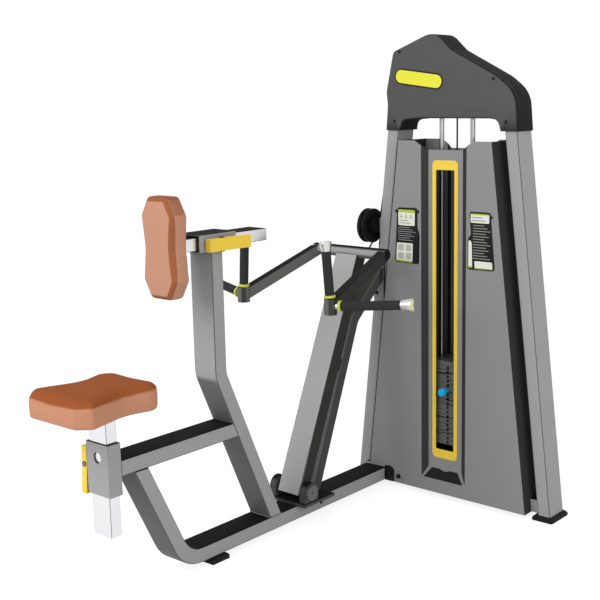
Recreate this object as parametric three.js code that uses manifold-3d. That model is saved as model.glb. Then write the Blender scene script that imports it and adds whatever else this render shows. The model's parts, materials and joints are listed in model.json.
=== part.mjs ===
// Vertical row machine: a bent tube base with a seat and a chest pad, a swinging lever with four
// grips, and a weight tower behind bent sheet shrouds, joined by a cable over three pulleys.
// Millimetres, +Z up. The origin is the centre of the front foot's underside. +X points from the
// seat to the tower, and +Y to the left of somebody who sits on the machine.
import * as THREE from 'three';
import { mergeVertices } from 'three/addons/utils/BufferGeometryUtils.js';
import Module from 'manifold-3d';

const wasm = await Module();
wasm.setup();

// Clearances
const seatGap = 0.3;
const slideGap = 0.35;
const turnGap = 0.12;
const overrun = 20;

// Stations along the machine, back from the tower
const towerX = 864;
const leverSetback = 490.5;
const pivotX = towerX - leverSetback;
const chestPostSetback = 130.9;
const chestPostFootX = pivotX - chestPostSetback;

// Frame tube, bent in the XZ plane: its depth lies in that plane and its width along Y
const tubeDepth = 45;
const tubeWidth = 90;
const tubeWall = 3;
const tubeCorner = 7;
const beamBendRadius = 90;
const postBendRadius = 80;

// Base beam, which turns up at the front into the riser
const beamBottomZ = 15.5;
const beamTopZ = beamBottomZ + tubeDepth;
const beamCentreZ = beamBottomZ + tubeDepth / 2;
const riserFootX = -117.2;
const riserTopX = -262;
const beamBoltBehind = 78.5;
const beamBoltX = pivotX + beamBoltBehind;
const beamBoltRadius = 6;

// Front foot
const footLength = 68;
const footWidth = 112;
const footBevel = 4;

// Seat beam and chest post
const seatBeamBottomZ = 347;
const chestPostTopX = 37;
const chestPostBendZ = 541;
const chestSleeveBottomZ = 897;

// Seat sleeve and tube
const seatX = -350;
const seatSleeveDepth = 42;
const seatSleeveWidth = 90;
const seatSleeveBottomZ = 300;
const seatSleeveTopZ = 441;
const sleeveWall = 2.5;
const seatTubeDepth = 34;
const seatTubeWidth = 73;
const seatTubeBottomZ = 188;
const seatTubeTopZ = 515.7;
const sightHoleRadius = 15;
const sightHoleZ = 402;
const linerLip = 1.5;
const tubeMarkPitch = 25;
const tubeMarkCount = 7;
const pinHoleRadius = 5.3;

// Seat pad
const plateThickness = 6;
const seatPlateLength = 140;
const seatPlateWidth = 120;
const seatPadLength = 276;
const seatPadWidth = 258;
const seatPadFrontX = -504;
const seatPadHeight = 69.4;
const seatPadCorner = 26;
const seatPadWaistCorner = 120;
const seatPadShares = [[0, 0.7], [0.123, 1], [0.504, 0.775], [0.64, 0.775], [0.877, 0.925], [1, 0.635]];

// Chest sleeve, tube and pad
const chestSleeveBackX = 110;
const chestSleeveFrontX = -28;
const chestSleeveHeight = 49;
const chestSleeveWidth = 90;
const chestTubeHeight = 35;
const chestTubeWidth = 73;
const chestTubeBackX = 243;
const chestTubeFrontX = -79;
const chestPlateHeight = 180;
const chestPlateWidth = 80;
const chestPadLength = 280;
const chestPadWidth = 136;
const chestPadDrop = 2.5;
const chestPadDepth = 55.4;
const chestPadCorner = 24;
const chestPadWaistCorner = 160;
const chestPadShares = [[0, 0.57], [0.186, 1], [0.5, 0.9], [0.814, 1], [1, 0.57]];

// Latches: a channel-shaped handle that rocks on a bolt and draws a pin
const latchWidth = 35;
const latchWall = 4;
const latchDepth = 20;
const latchSplay = 8;
const latchPivotOut = 15;
const latchBoltRadius = 5;
const latchHeadRadius = 7;
const latchHeadHeight = 3;
const latchLugHalf = 8;
const latchLugHeight = 20;
const latchPinArm = 32;
const latchPinRadius = 5;
const latchPinLength = 22;
const seatLatchShort = 49;
const seatLatchLong = 83;
const seatLatchZ = 373;
const chestLatchShort = 53;
const chestLatchLong = 95;
const chestLatchX = 42;
const chestLatchDrop = 4.3;

// Lever
const pivotZ = 100;
const leverLean = THREE.MathUtils.degToRad(22.9);
const leverDepth = 50;
const leverWidth = 90;
const leverBelow = 18;
const leverLength = 763;
const leverBossRadius = 21;
const shaftRadius = 12.5;
const crossTubeRadius = 19;
const crossTubeWall = 3;
const crossTubeHalf = 148;
const crossTubeBeyond = 14;
const crossTubeAlong = leverLength + crossTubeBeyond;
const crossTubeAcross = -6;
const ventRadius = 3;
const armWidth = 30;
const armHeight = 33;
const armTopY = 138;
const elbowBehind = 313.32;
const elbowY = 179;
const elbowDrop = 113.1;
const elbowRadius = 19;
const elbowHalf = 24;
const neckRadius = 12;
const lugFromEnd = 78;
const lugAlong = leverLength - lugFromEnd;
const lugAcross = 54;
const lugRadius = 12;
const lugHalf = 8;
const lugHeight = lugAlong * Math.cos(leverLean) - lugAcross * Math.sin(leverLean);
const frontPulleyRise = 179;
const frontPulleyZ = pivotZ + lugHeight + frontPulleyRise;

// Grips
const gripRingRadius = 17;
const gripRingLength = 8;
const gripRodRadius = 7;
const gripFoamRadius = 14;
const gripCapRadius = 18.5;
const uprightReach = new THREE.Vector3(-2.3, -14.4, 193);
const levelReach = new THREE.Vector3(73.1, 253.5, 21.6);
const uprightCapLength = 30;
const levelCapLength = 41;
const levelGripStart = 28;

// Pivot bearings on the base beam
const pivotPlateAhead = 38.5;
const pivotPlateBehind = 104.5;
const pivotPlateFrontX = pivotX - pivotPlateAhead;
const pivotPlateBackX = pivotX + pivotPlateBehind;
const pivotPlateHalf = 80;
const pivotPlateThickness = 9.4;
const bearingRadius = 31;
const bearingInner = 50;
const bearingOuter = 75;
const endDiscRadius = 25;
const endDiscThickness = 3;

// Brace between the base beam and the left post
const braceDepth = 40;
const braceWidth = 45;
const braceFootBehind = 82;
const braceFootX = pivotX + braceFootBehind;
const braceBendRadius = 60;
const bracePadThickness = 6;
const bracePadDrop = 99;
const bracePadHeight = 150;
const bracePadTopZ = frontPulleyZ - bracePadDrop;
const bracePadBottomZ = bracePadTopZ - bracePadHeight;
const braceTopRise = 95;
const braceBendDrop = 137.6;
const braceTopZ = bracePadBottomZ + braceTopRise;
const braceBendZ = braceTopZ - braceBendDrop;
const braceBendStand = 81.8;
const braceBendX = pivotX + (braceBendZ - pivotZ) * Math.tan(leverLean) + braceBendStand;
const bracePadHalf = 20;
const bumperAlong = 400;
const bumperHalf = 20;

// Tower: everything from here on is placed about its own centre
const postDepth = 88;
const postWidth = 45;
const postBottomZ = 15.8;
const postFootHalf = 380.6;
const postTopHalf = 243.86;
const baseDepth = 70;
const baseBottomZ = 16;
const baseHeight = 45;
const padDepth = 108;
const padPastPost = 12.4;
const padWidth = 73.5;
const padOuter = postFootHalf + padPastPost;
const padInner = padOuter - padWidth;
const padBevel = 7;
const topBeamDepth = 44;
const topBeamHeight = 40;

// Top cover
const coverFit = 6.14;
const coverPastCable = 22;
const overallHeight = 1500;
const coverHeight = 297;
const coverFootZ = overallHeight - coverHeight;
const postLean = (postFootHalf - postTopHalf) / (coverFootZ - baseBottomZ);
const postOuter = (z) => postFootHalf - postLean * (z - baseBottomZ);
const postInner = (z) => postOuter(z) - postWidth;
const coverFront = 49.5;
const coverBack = 49;
const coverWall = 3;
const coverBevel = 8;
const coverBevelDepth = 4;
const coverCorner = 18;
const coverShares = [
  [1, -0.1], [0.962, 0.269], [0.982, 0.411], [0.868, 0.835], [0.343, 0.997], [0.181, 1],
  [-0.031, 0.835], [-0.694, 0.554], [-0.952, 0.389], [-1, -0.1], [-0.776, -0.1], [-0.716, 0.084],
  [-0.672, 0.118], [-0.584, 0.128], [0.448, 0.128], [0.676, 0.111], [0.732, 0.084], [0.776, -0.1],
];
const archShare = 0.128;
const coverSlotHeight = 88;
const coverSlotInset = 9.17;
const coverSlotHalf = 8;
const rodHoleRadius = 11;
const cableHoleRadius = 7;

// Shrouds
const sheet = 2;
const shroudFront = 77;
const shroudBottomZ = 18;
const shroudDrop = 30.5;
const shroudTopZ = coverFootZ - shroudDrop;
const shroudTopGap = 27.37;
const shroudFootGap = 25.87;
const shroudTopHalf = postInner(shroudTopZ) - shroudTopGap;
const shroudFootHalf = postInner(shroudBottomZ) - shroudFootGap;
const shroudMeetGap = 1;
const channelHalf = 86;
const channelFloorHalf = 65;
const channelDepth = 12;
const channelEndZ = 64;
const channelEndRise = 37;
const notchHalf = 110;
const notchDepth = 28;
const beamNotchGap = 1.5;
const trimHalf = 48.5;
const trimBottomZ = 137;
const trimDrop = 60.5;
const trimTopZ = shroudTopZ - trimDrop;
const trimThickness = 3;
const trimEnd = 30;
const trimSide = 13.5;
const trimCorner = 10;
const windowEdge = 3;

// Weight stack
const stackDepth = 100;
const stackHalf = 84;
const plateCount = 19;
const liftedCount = 6;
const platePitch = 14.85;
const plateGroove = 1.6;
const stackBottomZ = 181;
const rodSpacing = 58.5;
const rodRadius = 8;
const rodBoreRadius = 9.5;
const stemRadius = 10;
const stemBoreRadius = 12.5;
const restSleeveRadius = 20;
const restPlateThickness = 10;
const fittingRadius = 9;
const fittingLength = 34;
const selectorRadius = 5;
const selectorBoreRadius = 5.6;
const selectorDepth = 58;
const knobRadius = 13;
const knobLength = 24;
const knobStandOff = 17;

// Pulleys and cable
const cableRadius = 2.75;
const cableGap = 0.6;
const frontPulleySetback = 62;
const frontPulleyX = towerX - frontPulleySetback;
const frontPulleyY = 20;
const frontPulleyOut = 23.968;
const frontWrapRadius = 48;
const frontFlangeRadius = 57;
const frontPulleyWidth = 26;
const frontAxleRadius = 8;
const frontBracketBehind = 16;
const frontBracketAhead = 17;
const frontBracketBackX = towerX + frontBracketBehind;
const frontBracketFrontX = frontPulleyX - frontBracketAhead;
const frontBracketHalf = 25;
const frontBracketInner = 9;
const topPulleyDrop = 155;
const topPulleyZ = overallHeight - topPulleyDrop;
const topWrapRadius = 40;
const topFlangeRadius = 46;
const topPulleyWidth = 22;
const cableTopClear = 0.9;
const topAxleRadius = 7;
const carrierThickness = 6;
const carrierHalf = 24;
const carrierInner = 14;
const cheekThickness = 5;
const cheekHalf = 19;
const cheekGap = 1.5;
const hubRadius = 18;
const pulleyDish = 4;
const rimLip = 3;
const washerRadius = 14;
const washerThickness = 3.5;
const arcSteps = 6;
const leverRunSteps = 12;
const mainRunSteps = 54;
const cableSides = 4;

// Places that follow from these sizes: the post's top, the tower beside the cable's plane, and the
// cable's way past the post to the left top pulley
const archZ = coverFootZ + archShare * coverHeight;
const topBeamBottomZ = archZ + coverWall + seatGap;
const topBeamTopZ = topBeamBottomZ + topBeamHeight;
const postTopZ = topBeamTopZ - 2 * seatGap;
const towerY = frontPulleyY - postOuter(frontPulleyZ) - frontPulleyOut;
const postTopShare = (postTopZ - frontPulleyZ) / (topPulleyZ - frontPulleyZ);
const cableTopHalf = (postOuter(postTopZ) + cableRadius + cableTopClear
  - (frontPulleyY - towerY) * (1 - postTopShare)) / postTopShare;
const topPulleySpan = cableTopHalf - 2 * topWrapRadius;
const carrierOuter = topWrapRadius + topPulleySpan + cheekHalf + cheekThickness;
const coverHalf = Math.max(postTopHalf + coverFit, cableTopHalf + coverPastCable);

// Rounding steps
const cornerSteps = 3;
const tubeCornerSteps = 2;
const bendSteps = 7;
const roundSides = 24;
const smallSides = 12;
const tinySides = 8;
const gripSides = 18;

function material(color, roughness, metalness) {
  return new THREE.MeshStandardMaterial({ color, roughness, metalness });
}

const greyPaint = material(0x9a9a9c, 0.45, 0.35);
const coverPlastic = material(0x585858, 0.55, 0.1);
const yellowPlastic = material(0xe8b92e, 0.45, 0);
const brownLeather = material(0x9c582a, 0.5, 0);
const blackFoam = material(0x2c2b2e, 0.85, 0);
const chrome = material(0xe8e8ea, 0.15, 0.95);
const blackPlastic = material(0x161616, 0.45, 0);
const blackRubber = material(0x1c1c1c, 0.9, 0);
const plateSteel = material(0x2a2a2c, 0.5, 0.6);
const bluePlastic = material(0x1a9ac5, 0.4, 0);
const cableCoat = material(0x121212, 0.4, 0);

// A closed geometry as a solid: its shared vertices are merged and its empty triangles left out
function toSolid(geometry) {
  const bare = geometry.clone();
  bare.deleteAttribute('normal');
  bare.deleteAttribute('uv');
  const merged = mergeVertices(bare);
  const corners = Array.from(merged.index.array);
  const kept = [];
  for (let i = 0; i < corners.length; i += 3) {
    const [a, b, c] = corners.slice(i, i + 3);
    if (a !== b && b !== c && c !== a) {
      kept.push(a, b, c);
    }
  }
  return new wasm.Manifold(new wasm.Mesh({
    numProp: 3,
    vertProperties: new Float32Array(merged.attributes.position.array),
    triVerts: new Uint32Array(kept),
  }));
}

function toGeometry(solid) {
  const { numProp, vertProperties, triVerts } = solid.getMesh();
  const geometry = new THREE.BufferGeometry();
  geometry.setAttribute('position', new THREE.BufferAttribute(vertProperties, numProp));
  geometry.setIndex(new THREE.BufferAttribute(triVerts, 1));
  geometry.computeVertexNormals();
  return geometry;
}

function join(first, ...others) {
  return others.reduce((whole, solid) => whole.add(solid), first);
}

function cut(first, ...others) {
  return others.reduce((whole, solid) => whole.subtract(solid), first);
}

// An outline of [u, v] points along an axis. Along x they are y and z, along y they are x and z,
// and along z they are x and y.
function prism(outline, axis, low, high) {
  const shape = new THREE.Shape(outline.map(([u, v]) => new THREE.Vector2(u, v)));
  const geometry = new THREE.ExtrudeGeometry(shape, { depth: high - low, bevelEnabled: false });
  geometry.translate(0, 0, axis === 'y' ? -high : low);
  turnTo(geometry, axis);
  return toSolid(geometry);
}

// Turns a geometry that was made along z to lie along another axis
function turnTo(geometry, axis) {
  const x = new THREE.Vector3(1, 0, 0);
  const y = new THREE.Vector3(0, 1, 0);
  const z = new THREE.Vector3(0, 0, 1);
  if (axis === 'x') {
    geometry.applyMatrix4(new THREE.Matrix4().makeBasis(y, z, x));
  }
  if (axis === 'y') {
    geometry.applyMatrix4(new THREE.Matrix4().makeBasis(x, z, y.clone().negate()));
  }
}

function block(xRange, yRange, zRange) {
  const size = [xRange, yRange, zRange].map(([low, high]) => high - low);
  const middle = [xRange, yRange, zRange].map(([low, high]) => (low + high) / 2);
  const geometry = new THREE.BoxGeometry(...size);
  geometry.translate(...middle);
  return toSolid(geometry);
}

// A round bar along an axis through [u, v], in the same order as an outline's points
function bar(axis, centre, radius, low, high, sides = roundSides) {
  const points = [];
  for (let i = 0; i < sides; i += 1) {
    const angle = (2 * Math.PI * i) / sides;
    points.push([centre[0] + radius * Math.cos(angle), centre[1] + radius * Math.sin(angle)]);
  }
  return prism(points, axis, low, high);
}

// The radius of a faceted bore that lets a shaft turn in it
function boreRadius(radius, gap, sides = roundSides) {
  return (radius + gap) / Math.cos(Math.PI / sides);
}

// A turned solid along an axis from [radius, height] points that start and end on the axis
function turned(profile, axis = 'z', sides = roundSides) {
  const points = profile.map(([radius, height]) => new THREE.Vector2(radius, height));
  const geometry = new THREE.LatheGeometry(points, sides);
  geometry.rotateX(Math.PI / 2);
  turnTo(geometry, axis);
  return toSolid(outward(geometry));
}

// Turns every triangle over if the closed geometry is inside out
function outward(geometry) {
  const place = geometry.attributes.position;
  const index = geometry.index;
  const a = new THREE.Vector3();
  const b = new THREE.Vector3();
  const c = new THREE.Vector3();
  let volume = 0;
  for (let i = 0; i < index.count; i += 3) {
    a.fromBufferAttribute(place, index.getX(i));
    b.fromBufferAttribute(place, index.getX(i + 1));
    c.fromBufferAttribute(place, index.getX(i + 2));
    volume += a.dot(b.cross(c));
  }
  if (volume < 0) {
    for (let i = 0; i < index.count; i += 3) {
      const second = index.getX(i + 1);
      index.setX(i + 1, index.getX(i + 2));
      index.setX(i + 2, second);
    }
  }
  return geometry;
}

// A skin over rings of equal point counts, closed at both ends from each ring's middle
function loft(rings) {
  const count = rings[0].length;
  const places = rings.flat();
  const corners = [];
  for (let r = 0; r < rings.length - 1; r += 1) {
    for (let i = 0; i < count; i += 1) {
      const next = (i + 1) % count;
      const low = r * count;
      const high = low + count;
      corners.push(low + i, low + next, high + next, low + i, high + next, high + i);
    }
  }
  for (const [r, turn] of [[0, false], [rings.length - 1, true]]) {
    const middle = new THREE.Vector3();
    rings[r].forEach((place) => middle.add(place));
    places.push(middle.divideScalar(count));
    for (let i = 0; i < count; i += 1) {
      const here = r * count + i;
      const next = r * count + ((i + 1) % count);
      corners.push(places.length - 1, turn ? here : next, turn ? next : here);
    }
  }
  const geometry = new THREE.BufferGeometry();
  geometry.setAttribute('position',
    new THREE.Float32BufferAttribute(places.flatMap((p) => p.toArray()), 3));
  geometry.setIndex(corners);
  return toSolid(outward(geometry));
}

// Each corner [u, v, radius] of an outline or a path as an arc
function roundCorners(corners, closed, steps = cornerSteps) {
  const points = [];
  corners.forEach(([u, v, radius = 0], i) => {
    const here = new THREE.Vector2(u, v);
    const atEnd = !closed && (i === 0 || i === corners.length - 1);
    if (atEnd || radius === 0) {
      points.push([u, v]);
      return;
    }
    const last = corners[(i + corners.length - 1) % corners.length];
    const next = corners[(i + 1) % corners.length];
    const back = new THREE.Vector2(last[0], last[1]).sub(here);
    const ahead = new THREE.Vector2(next[0], next[1]).sub(here);
    const room = Math.min(back.length(), ahead.length()) / 2;
    back.normalize();
    ahead.normalize();
    const half = Math.acos(THREE.MathUtils.clamp(back.dot(ahead), -1, 1)) / 2;
    const reach = Math.min(radius / Math.tan(half), room);
    const start = here.clone().addScaledVector(back, reach);
    const end = here.clone().addScaledVector(ahead, reach);
    const centre = here.clone().addScaledVector(back.clone().add(ahead).normalize(),
      reach / Math.cos(half));
    const first = Math.atan2(start.y - centre.y, start.x - centre.x);
    let sweep = Math.atan2(end.y - centre.y, end.x - centre.x) - first;
    sweep -= 2 * Math.PI * Math.round(sweep / (2 * Math.PI));
    const size = start.distanceTo(centre);
    for (let k = 0; k <= steps; k += 1) {
      const angle = first + (sweep * k) / steps;
      points.push([centre.x + size * Math.cos(angle), centre.y + size * Math.sin(angle)]);
    }
  });
  return points;
}

function rectangle(uRange, vRange, radius = 0) {
  const corners = [
    [uRange[0], vRange[0], radius], [uRange[1], vRange[0], radius],
    [uRange[1], vRange[1], radius], [uRange[0], vRange[1], radius],
  ];
  return roundCorners(corners, true, tubeCornerSteps);
}

// A closed outline moved outward by a distance, or inward by a negative one
function offset(outline, distance) {
  let area = 0;
  outline.forEach(([u, v], i) => {
    const [nextU, nextV] = outline[(i + 1) % outline.length];
    area += u * nextV - nextU * v;
  });
  const side = area > 0 ? distance : -distance;
  return outline.map(([u, v], i) => {
    const last = outline[(i + outline.length - 1) % outline.length];
    const next = outline[(i + 1) % outline.length];
    const before = new THREE.Vector2(u - last[0], v - last[1]).normalize();
    const after = new THREE.Vector2(next[0] - u, next[1] - v).normalize();
    const along = before.clone().add(after).normalize();
    const stretch = side / Math.max(along.dot(after), Math.SQRT1_2);
    return [u + along.y * stretch, v - along.x * stretch];
  });
}

// Rings of a section, whose u lies in the XZ plane and v along Y, square to a path of [x, z] points
function pathRings(path, section) {
  return path.map(([x, z], i) => {
    const here = new THREE.Vector2(x, z);
    const before = i > 0 ? here.clone().sub(new THREE.Vector2(...path[i - 1])).normalize() : null;
    const after = i < path.length - 1 ? new THREE.Vector2(...path[i + 1]).sub(here).normalize() : null;
    const along = (before ?? after).clone().add(after ?? before).normalize();
    const stretch = 1 / along.dot(after ?? before);
    return section.map(([u, v]) => new THREE.Vector3(x - along.y * u * stretch, v,
      z + along.x * u * stretch));
  });
}

// A path of [x, z] points made longer at both ends
function longer(path, extra) {
  const ends = [[path[0], path[1]], [path.at(-1), path.at(-2)]].map(([end, inner]) => {
    const away = new THREE.Vector2(end[0] - inner[0], end[1] - inner[1]).setLength(extra);
    return [end[0] + away.x, end[1] + away.y];
  });
  return [ends[0], ...path.slice(1, -1), ends[1]];
}

// A hollow tube of rounded rectangular section along a path of [x, z] points
function bentTube(path, depth, width, wall) {
  const section = (inset) => rectangle(
    [inset - depth / 2, depth / 2 - inset],
    [inset - width / 2, width / 2 - inset],
    tubeCorner - inset,
  );
  const outer = loft(pathRings(path, section(0)));
  return cut(outer, loft(pathRings(longer(path, overrun), section(wall))));
}

// A straight hollow tube along an axis, from the ranges of its section's two sides
function straightTube(axis, uRange, vRange, low, high, wall, corner = tubeCorner) {
  const inner = [uRange, vRange].map(([from, to]) => [from + wall, to - wall]);
  return cut(
    prism(rectangle(uRange, vRange, corner), axis, low, high),
    prism(rectangle(...inner, Math.max(corner - wall, 0)), axis, low - overrun, high + overrun),
  );
}

const machine = new THREE.Group();

function place(name, solid, finish, parent = machine) {
  const mesh = new THREE.Mesh(toGeometry(solid), finish);
  mesh.name = name;
  parent.add(mesh);
  return mesh;
}

function group(x, y, z) {
  const holder = new THREE.Group();
  holder.position.set(x, y, z);
  machine.add(holder);
  return holder;
}

const centred = (size) => [-size / 2, size / 2];

// Base frame

const postFootZ = beamTopZ + seatGap;
const baseFront = baseDepth / 2;
const beamEndX = towerX - baseFront - seatGap;
const riserRise = seatBeamBottomZ - beamCentreZ;
const riserTop = [riserTopX + (riserTopX - riserFootX) * (overrun / riserRise),
  seatBeamBottomZ + overrun];
const beamCorners = [[beamEndX, beamCentreZ], [riserFootX, beamCentreZ, beamBendRadius], riserTop];
const beamPath = roundCorners(beamCorners, false, bendSteps);
const everyX = [seatPadFrontX, towerX];
const acrossTube = centred(tubeWidth + overrun);

function baseBeam() {
  const tube = bentTube(beamPath, tubeDepth, tubeWidth, tubeWall);
  const aboveRiser = block(everyX, acrossTube,
    [seatBeamBottomZ - seatGap, seatBeamBottomZ + tubeDepth + overrun]);
  const boltHole = bar('y', [beamBoltX, beamCentreZ], beamBoltRadius, -tubeWidth, tubeWidth,
    smallSides);
  return cut(tube, aboveRiser, boltHole);
}

function frontFoot() {
  const size = [footLength, footWidth];
  const ring = (z, inset) => rectangle(...size.map((length) => centred(length - 2 * inset)), footBevel)
    .map(([x, y]) => new THREE.Vector3(x, y, z));
  const top = beamBottomZ - seatGap;
  return loft([ring(0, 0), ring(top - footBevel, 0), ring(top, footBevel)]);
}

const chestPostSlope = (chestPostTopX - chestPostFootX) / (chestPostBendZ - postFootZ);
const chestPostFoot = [chestPostFootX - chestPostSlope * overrun, postFootZ - overrun];
const chestPostTop = [chestPostTopX, chestSleeveBottomZ - seatGap];
const chestPostBend = [chestPostTopX, chestPostBendZ, postBendRadius];
const chestPostPath = roundCorners([chestPostFoot, chestPostBend, chestPostTop], false, bendSteps);

function chestPost() {
  const tube = bentTube(chestPostPath, tubeDepth, tubeWidth, tubeWall);
  return cut(tube, block(everyX, acrossTube, [postFootZ - 2 * overrun - tubeDepth, postFootZ]));
}

const seatSleeveBackX = seatX + seatSleeveDepth / 2;

function seatBeam() {
  const zRange = [seatBeamBottomZ, seatBeamBottomZ + tubeDepth];
  const tube = straightTube('x', centred(tubeWidth), zRange, seatSleeveBackX + seatGap, chestPostFootX,
    tubeWall);
  const postSection = rectangle(centred(tubeDepth + 2 * seatGap), acrossTube);
  const beyond = prism([
    [chestPostFoot[0], chestPostFoot[1]],
    [chestPostTopX, chestPostBendZ],
    [chestPostFootX, chestPostBendZ],
  ], 'y', ...acrossTube);
  return cut(tube, loft(pathRings([chestPostFoot, [chestPostTopX, chestPostBendZ]], postSection)),
    beyond);
}

place('base_beam', baseBeam(), greyPaint);
place('front_foot', frontFoot(), blackRubber);
place('chest_post', chestPost(), greyPaint);
place('seat_beam', seatBeam(), greyPaint);

// Latches, made about their bolt: the bolt lies along x, the short arm points along +z and the
// handle stands out along +y

function latchHandle(shortArm, longArm) {
  const inner = latchPivotOut - latchDepth / 2;
  const outer = latchPivotOut + latchDepth / 2;
  const side = (from) => [
    [inner - latchPivotOut + from, shortArm], [inner - latchPivotOut + from, 0],
    [inner - latchPivotOut + latchSplay + from, -longArm],
    [outer - latchPivotOut + latchSplay, -longArm],
    [outer - latchPivotOut, 0], [outer - latchPivotOut, shortArm],
  ];
  const body = prism(side(0), 'x', ...centred(latchWidth));
  const slotHalf = latchWidth / 2 - latchWall;
  const hollow = [
    [-latchDepth, shortArm - latchWall], [-latchDepth, latchWall - longArm],
    [latchDepth / 2 + latchSplay - latchWall, latchWall - longArm], [latchDepth / 2 - latchWall, 0],
    [latchDepth / 2 - latchWall, shortArm - latchWall],
  ];
  const bore = bar('x', [0, 0], boreRadius(latchBoltRadius, turnGap, smallSides),
    ...centred(latchWidth + overrun), smallSides);
  return cut(body, prism(hollow, 'x', -slotHalf, slotHalf), bore);
}

// The lug on a sleeve's wall with the bolt through it, about the bolt
function latchLug() {
  const lug = block([-latchLugHalf, latchLugHalf],
    [-latchPivotOut - sleeveWall / 2, latchBoltRadius + seatGap],
    centred(latchLugHeight));
  const reach = latchWidth / 2 + seatGap;
  const bolt = bar('x', [0, 0], latchBoltRadius, -reach - latchHeadHeight, reach + latchHeadHeight,
    smallSides);
  const heads = [-1, 1].map((side) => bar('x', [0, 0], latchHeadRadius,
    ...(side < 0 ? [-reach - latchHeadHeight, -reach] : [reach, reach + latchHeadHeight]), smallSides));
  return join(lug, bolt, ...heads);
}

function latchPin(tubeOut) {
  return bar('y', [0, latchPinArm], latchPinRadius, tubeOut, tubeOut + latchPinLength, smallSides);
}

function pinBore(radius) {
  return bar('y', [0, latchPinArm], radius, -latchPivotOut - overrun, 0, smallSides);
}

// Moves a solid from the latch's own axes to its place on a sleeve
function moved(solid, holder) {
  holder.updateMatrix();
  const geometry = toGeometry(solid);
  geometry.applyMatrix4(holder.matrix);
  return toSolid(geometry);
}

const seatLatchGroup = group(seatX, seatSleeveWidth / 2 + latchPivotOut, seatLatchZ);
const chestCentreZ = chestSleeveBottomZ + chestSleeveHeight / 2;
const chestLatchGroup = group(chestLatchX, -chestSleeveWidth / 2 - latchPivotOut,
  chestCentreZ - chestLatchDrop);
chestLatchGroup.quaternion.setFromRotationMatrix(new THREE.Matrix4().makeBasis(
  new THREE.Vector3(0, 0, -1),
  new THREE.Vector3(0, -1, 0),
  new THREE.Vector3(-1, 0, 0),
));

// Sleeves: a square tube with a plastic liner, in which the adjusting tube slides

function liner(axis, middle, sleeve, tube, low, high) {
  const shift = (range, centre) => range.map((value) => value + centre);
  const outside = sleeve.map((size, i) => shift(centred(size - 2 * sleeveWall - 2 * seatGap),
    middle[i]));
  const inside = tube.map((size, i) => shift(centred(size + 2 * slideGap), middle[i]));
  return cut(
    prism(rectangle(...outside), axis, low, high),
    prism(rectangle(...inside), axis, low - overrun, high + overrun),
  );
}

function seatSleeve() {
  const xRange = centred(seatSleeveDepth).map((value) => value + seatX);
  const tube = straightTube('z', xRange, centred(seatSleeveWidth), seatSleeveBottomZ, seatSleeveTopZ,
    sleeveWall, sleeveWall);
  const sight = bar('x', [0, sightHoleZ], sightHoleRadius, xRange[0] - overrun, seatX);
  const pinHole = moved(pinBore(pinHoleRadius), seatLatchGroup);
  return cut(join(tube, moved(latchLug(), seatLatchGroup)), sight, pinHole);
}

function seatSleeveLiner() {
  const whole = liner('z', [seatX, 0], [seatSleeveDepth, seatSleeveWidth],
    [seatTubeDepth, seatTubeWidth],
    seatSleeveBottomZ, seatSleeveTopZ + linerLip);
  const sight = bar('x', [0, sightHoleZ], sightHoleRadius, seatX - seatSleeveDepth, seatX);
  return cut(whole, sight, moved(pinBore(pinHoleRadius), seatLatchGroup));
}

function chestSleeve() {
  const zRange = [chestSleeveBottomZ, chestSleeveBottomZ + chestSleeveHeight];
  const tube = straightTube('x', centred(chestSleeveWidth), zRange, chestSleeveFrontX, chestSleeveBackX,
    sleeveWall, sleeveWall);
  return cut(join(tube, moved(latchLug(), chestLatchGroup)),
    moved(pinBore(pinHoleRadius), chestLatchGroup));
}

function chestSleeveLiner() {
  const whole = liner('x', [0, chestCentreZ], [chestSleeveWidth, chestSleeveHeight],
    [chestTubeWidth, chestTubeHeight],
    chestSleeveFrontX - linerLip, chestSleeveBackX);
  return cut(whole, moved(pinBore(pinHoleRadius), chestLatchGroup));
}

place('seat_sleeve', seatSleeve(), greyPaint);
place('seat_sleeve_liner', seatSleeveLiner(), blackPlastic);
place('chest_sleeve', chestSleeve(), greyPaint);
place('chest_sleeve_liner', chestSleeveLiner(), blackPlastic);
place('seat_latch', latchHandle(seatLatchShort, seatLatchLong), yellowPlastic, seatLatchGroup);
place('chest_latch', latchHandle(chestLatchShort, chestLatchLong), yellowPlastic, chestLatchGroup);
const seatPinStart = seatTubeWidth / 2 + seatGap - seatSleeveWidth / 2 - latchPivotOut;
const chestPinStart = chestTubeWidth / 2 + seatGap - chestSleeveWidth / 2 - latchPivotOut;
place('seat_latch_pin', latchPin(seatPinStart), chrome, seatLatchGroup);
place('chest_latch_pin', latchPin(chestPinStart), chrome, chestLatchGroup);

// Seat: a tube with pin holes along one side, a plate and the pad

function cushion(profileShares, length, width, height, corner, waistCorner) {
  const half = profileShares.map(([along, across], i) => {
    const waist = across < 1 && i > 0 && i < profileShares.length - 1;
    return [along * length, (across * width) / 2, waist ? waistCorner : corner];
  });
  const mirrored = half.map(([along, across, radius]) => [along, -across, radius]).reverse();
  const outline = roundCorners([...half, ...mirrored], true);
  // Height, inset and scale shares of each ring, from the flat base over the bulge to the crown
  const levelShares = [
    [0, 0.1, 1], [0.06, 0.02, 1], [0.25, 0, 1], [0.62, 0.005, 1], [0.76, 0.03, 1], [0.88, 0.09, 1],
    [0.95, 0.17, 1], [0.98, 0.27, 1], [0.99, 0.27, 0.85], [1, 0.27, 0.5],
  ];
  const rings = levelShares.map(([up, inset, scale]) => offset(outline, -inset * height)
    .map(([u, v]) => new THREE.Vector3(length / 2 + (u - length / 2) * scale, v * scale, up * height)));
  return loft(rings);
}

const seatGroup = group(seatX, 0, 0);
const seatPlateZ = seatTubeTopZ + seatGap;
const seatPadZ = seatPlateZ + plateThickness + seatGap;

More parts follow.
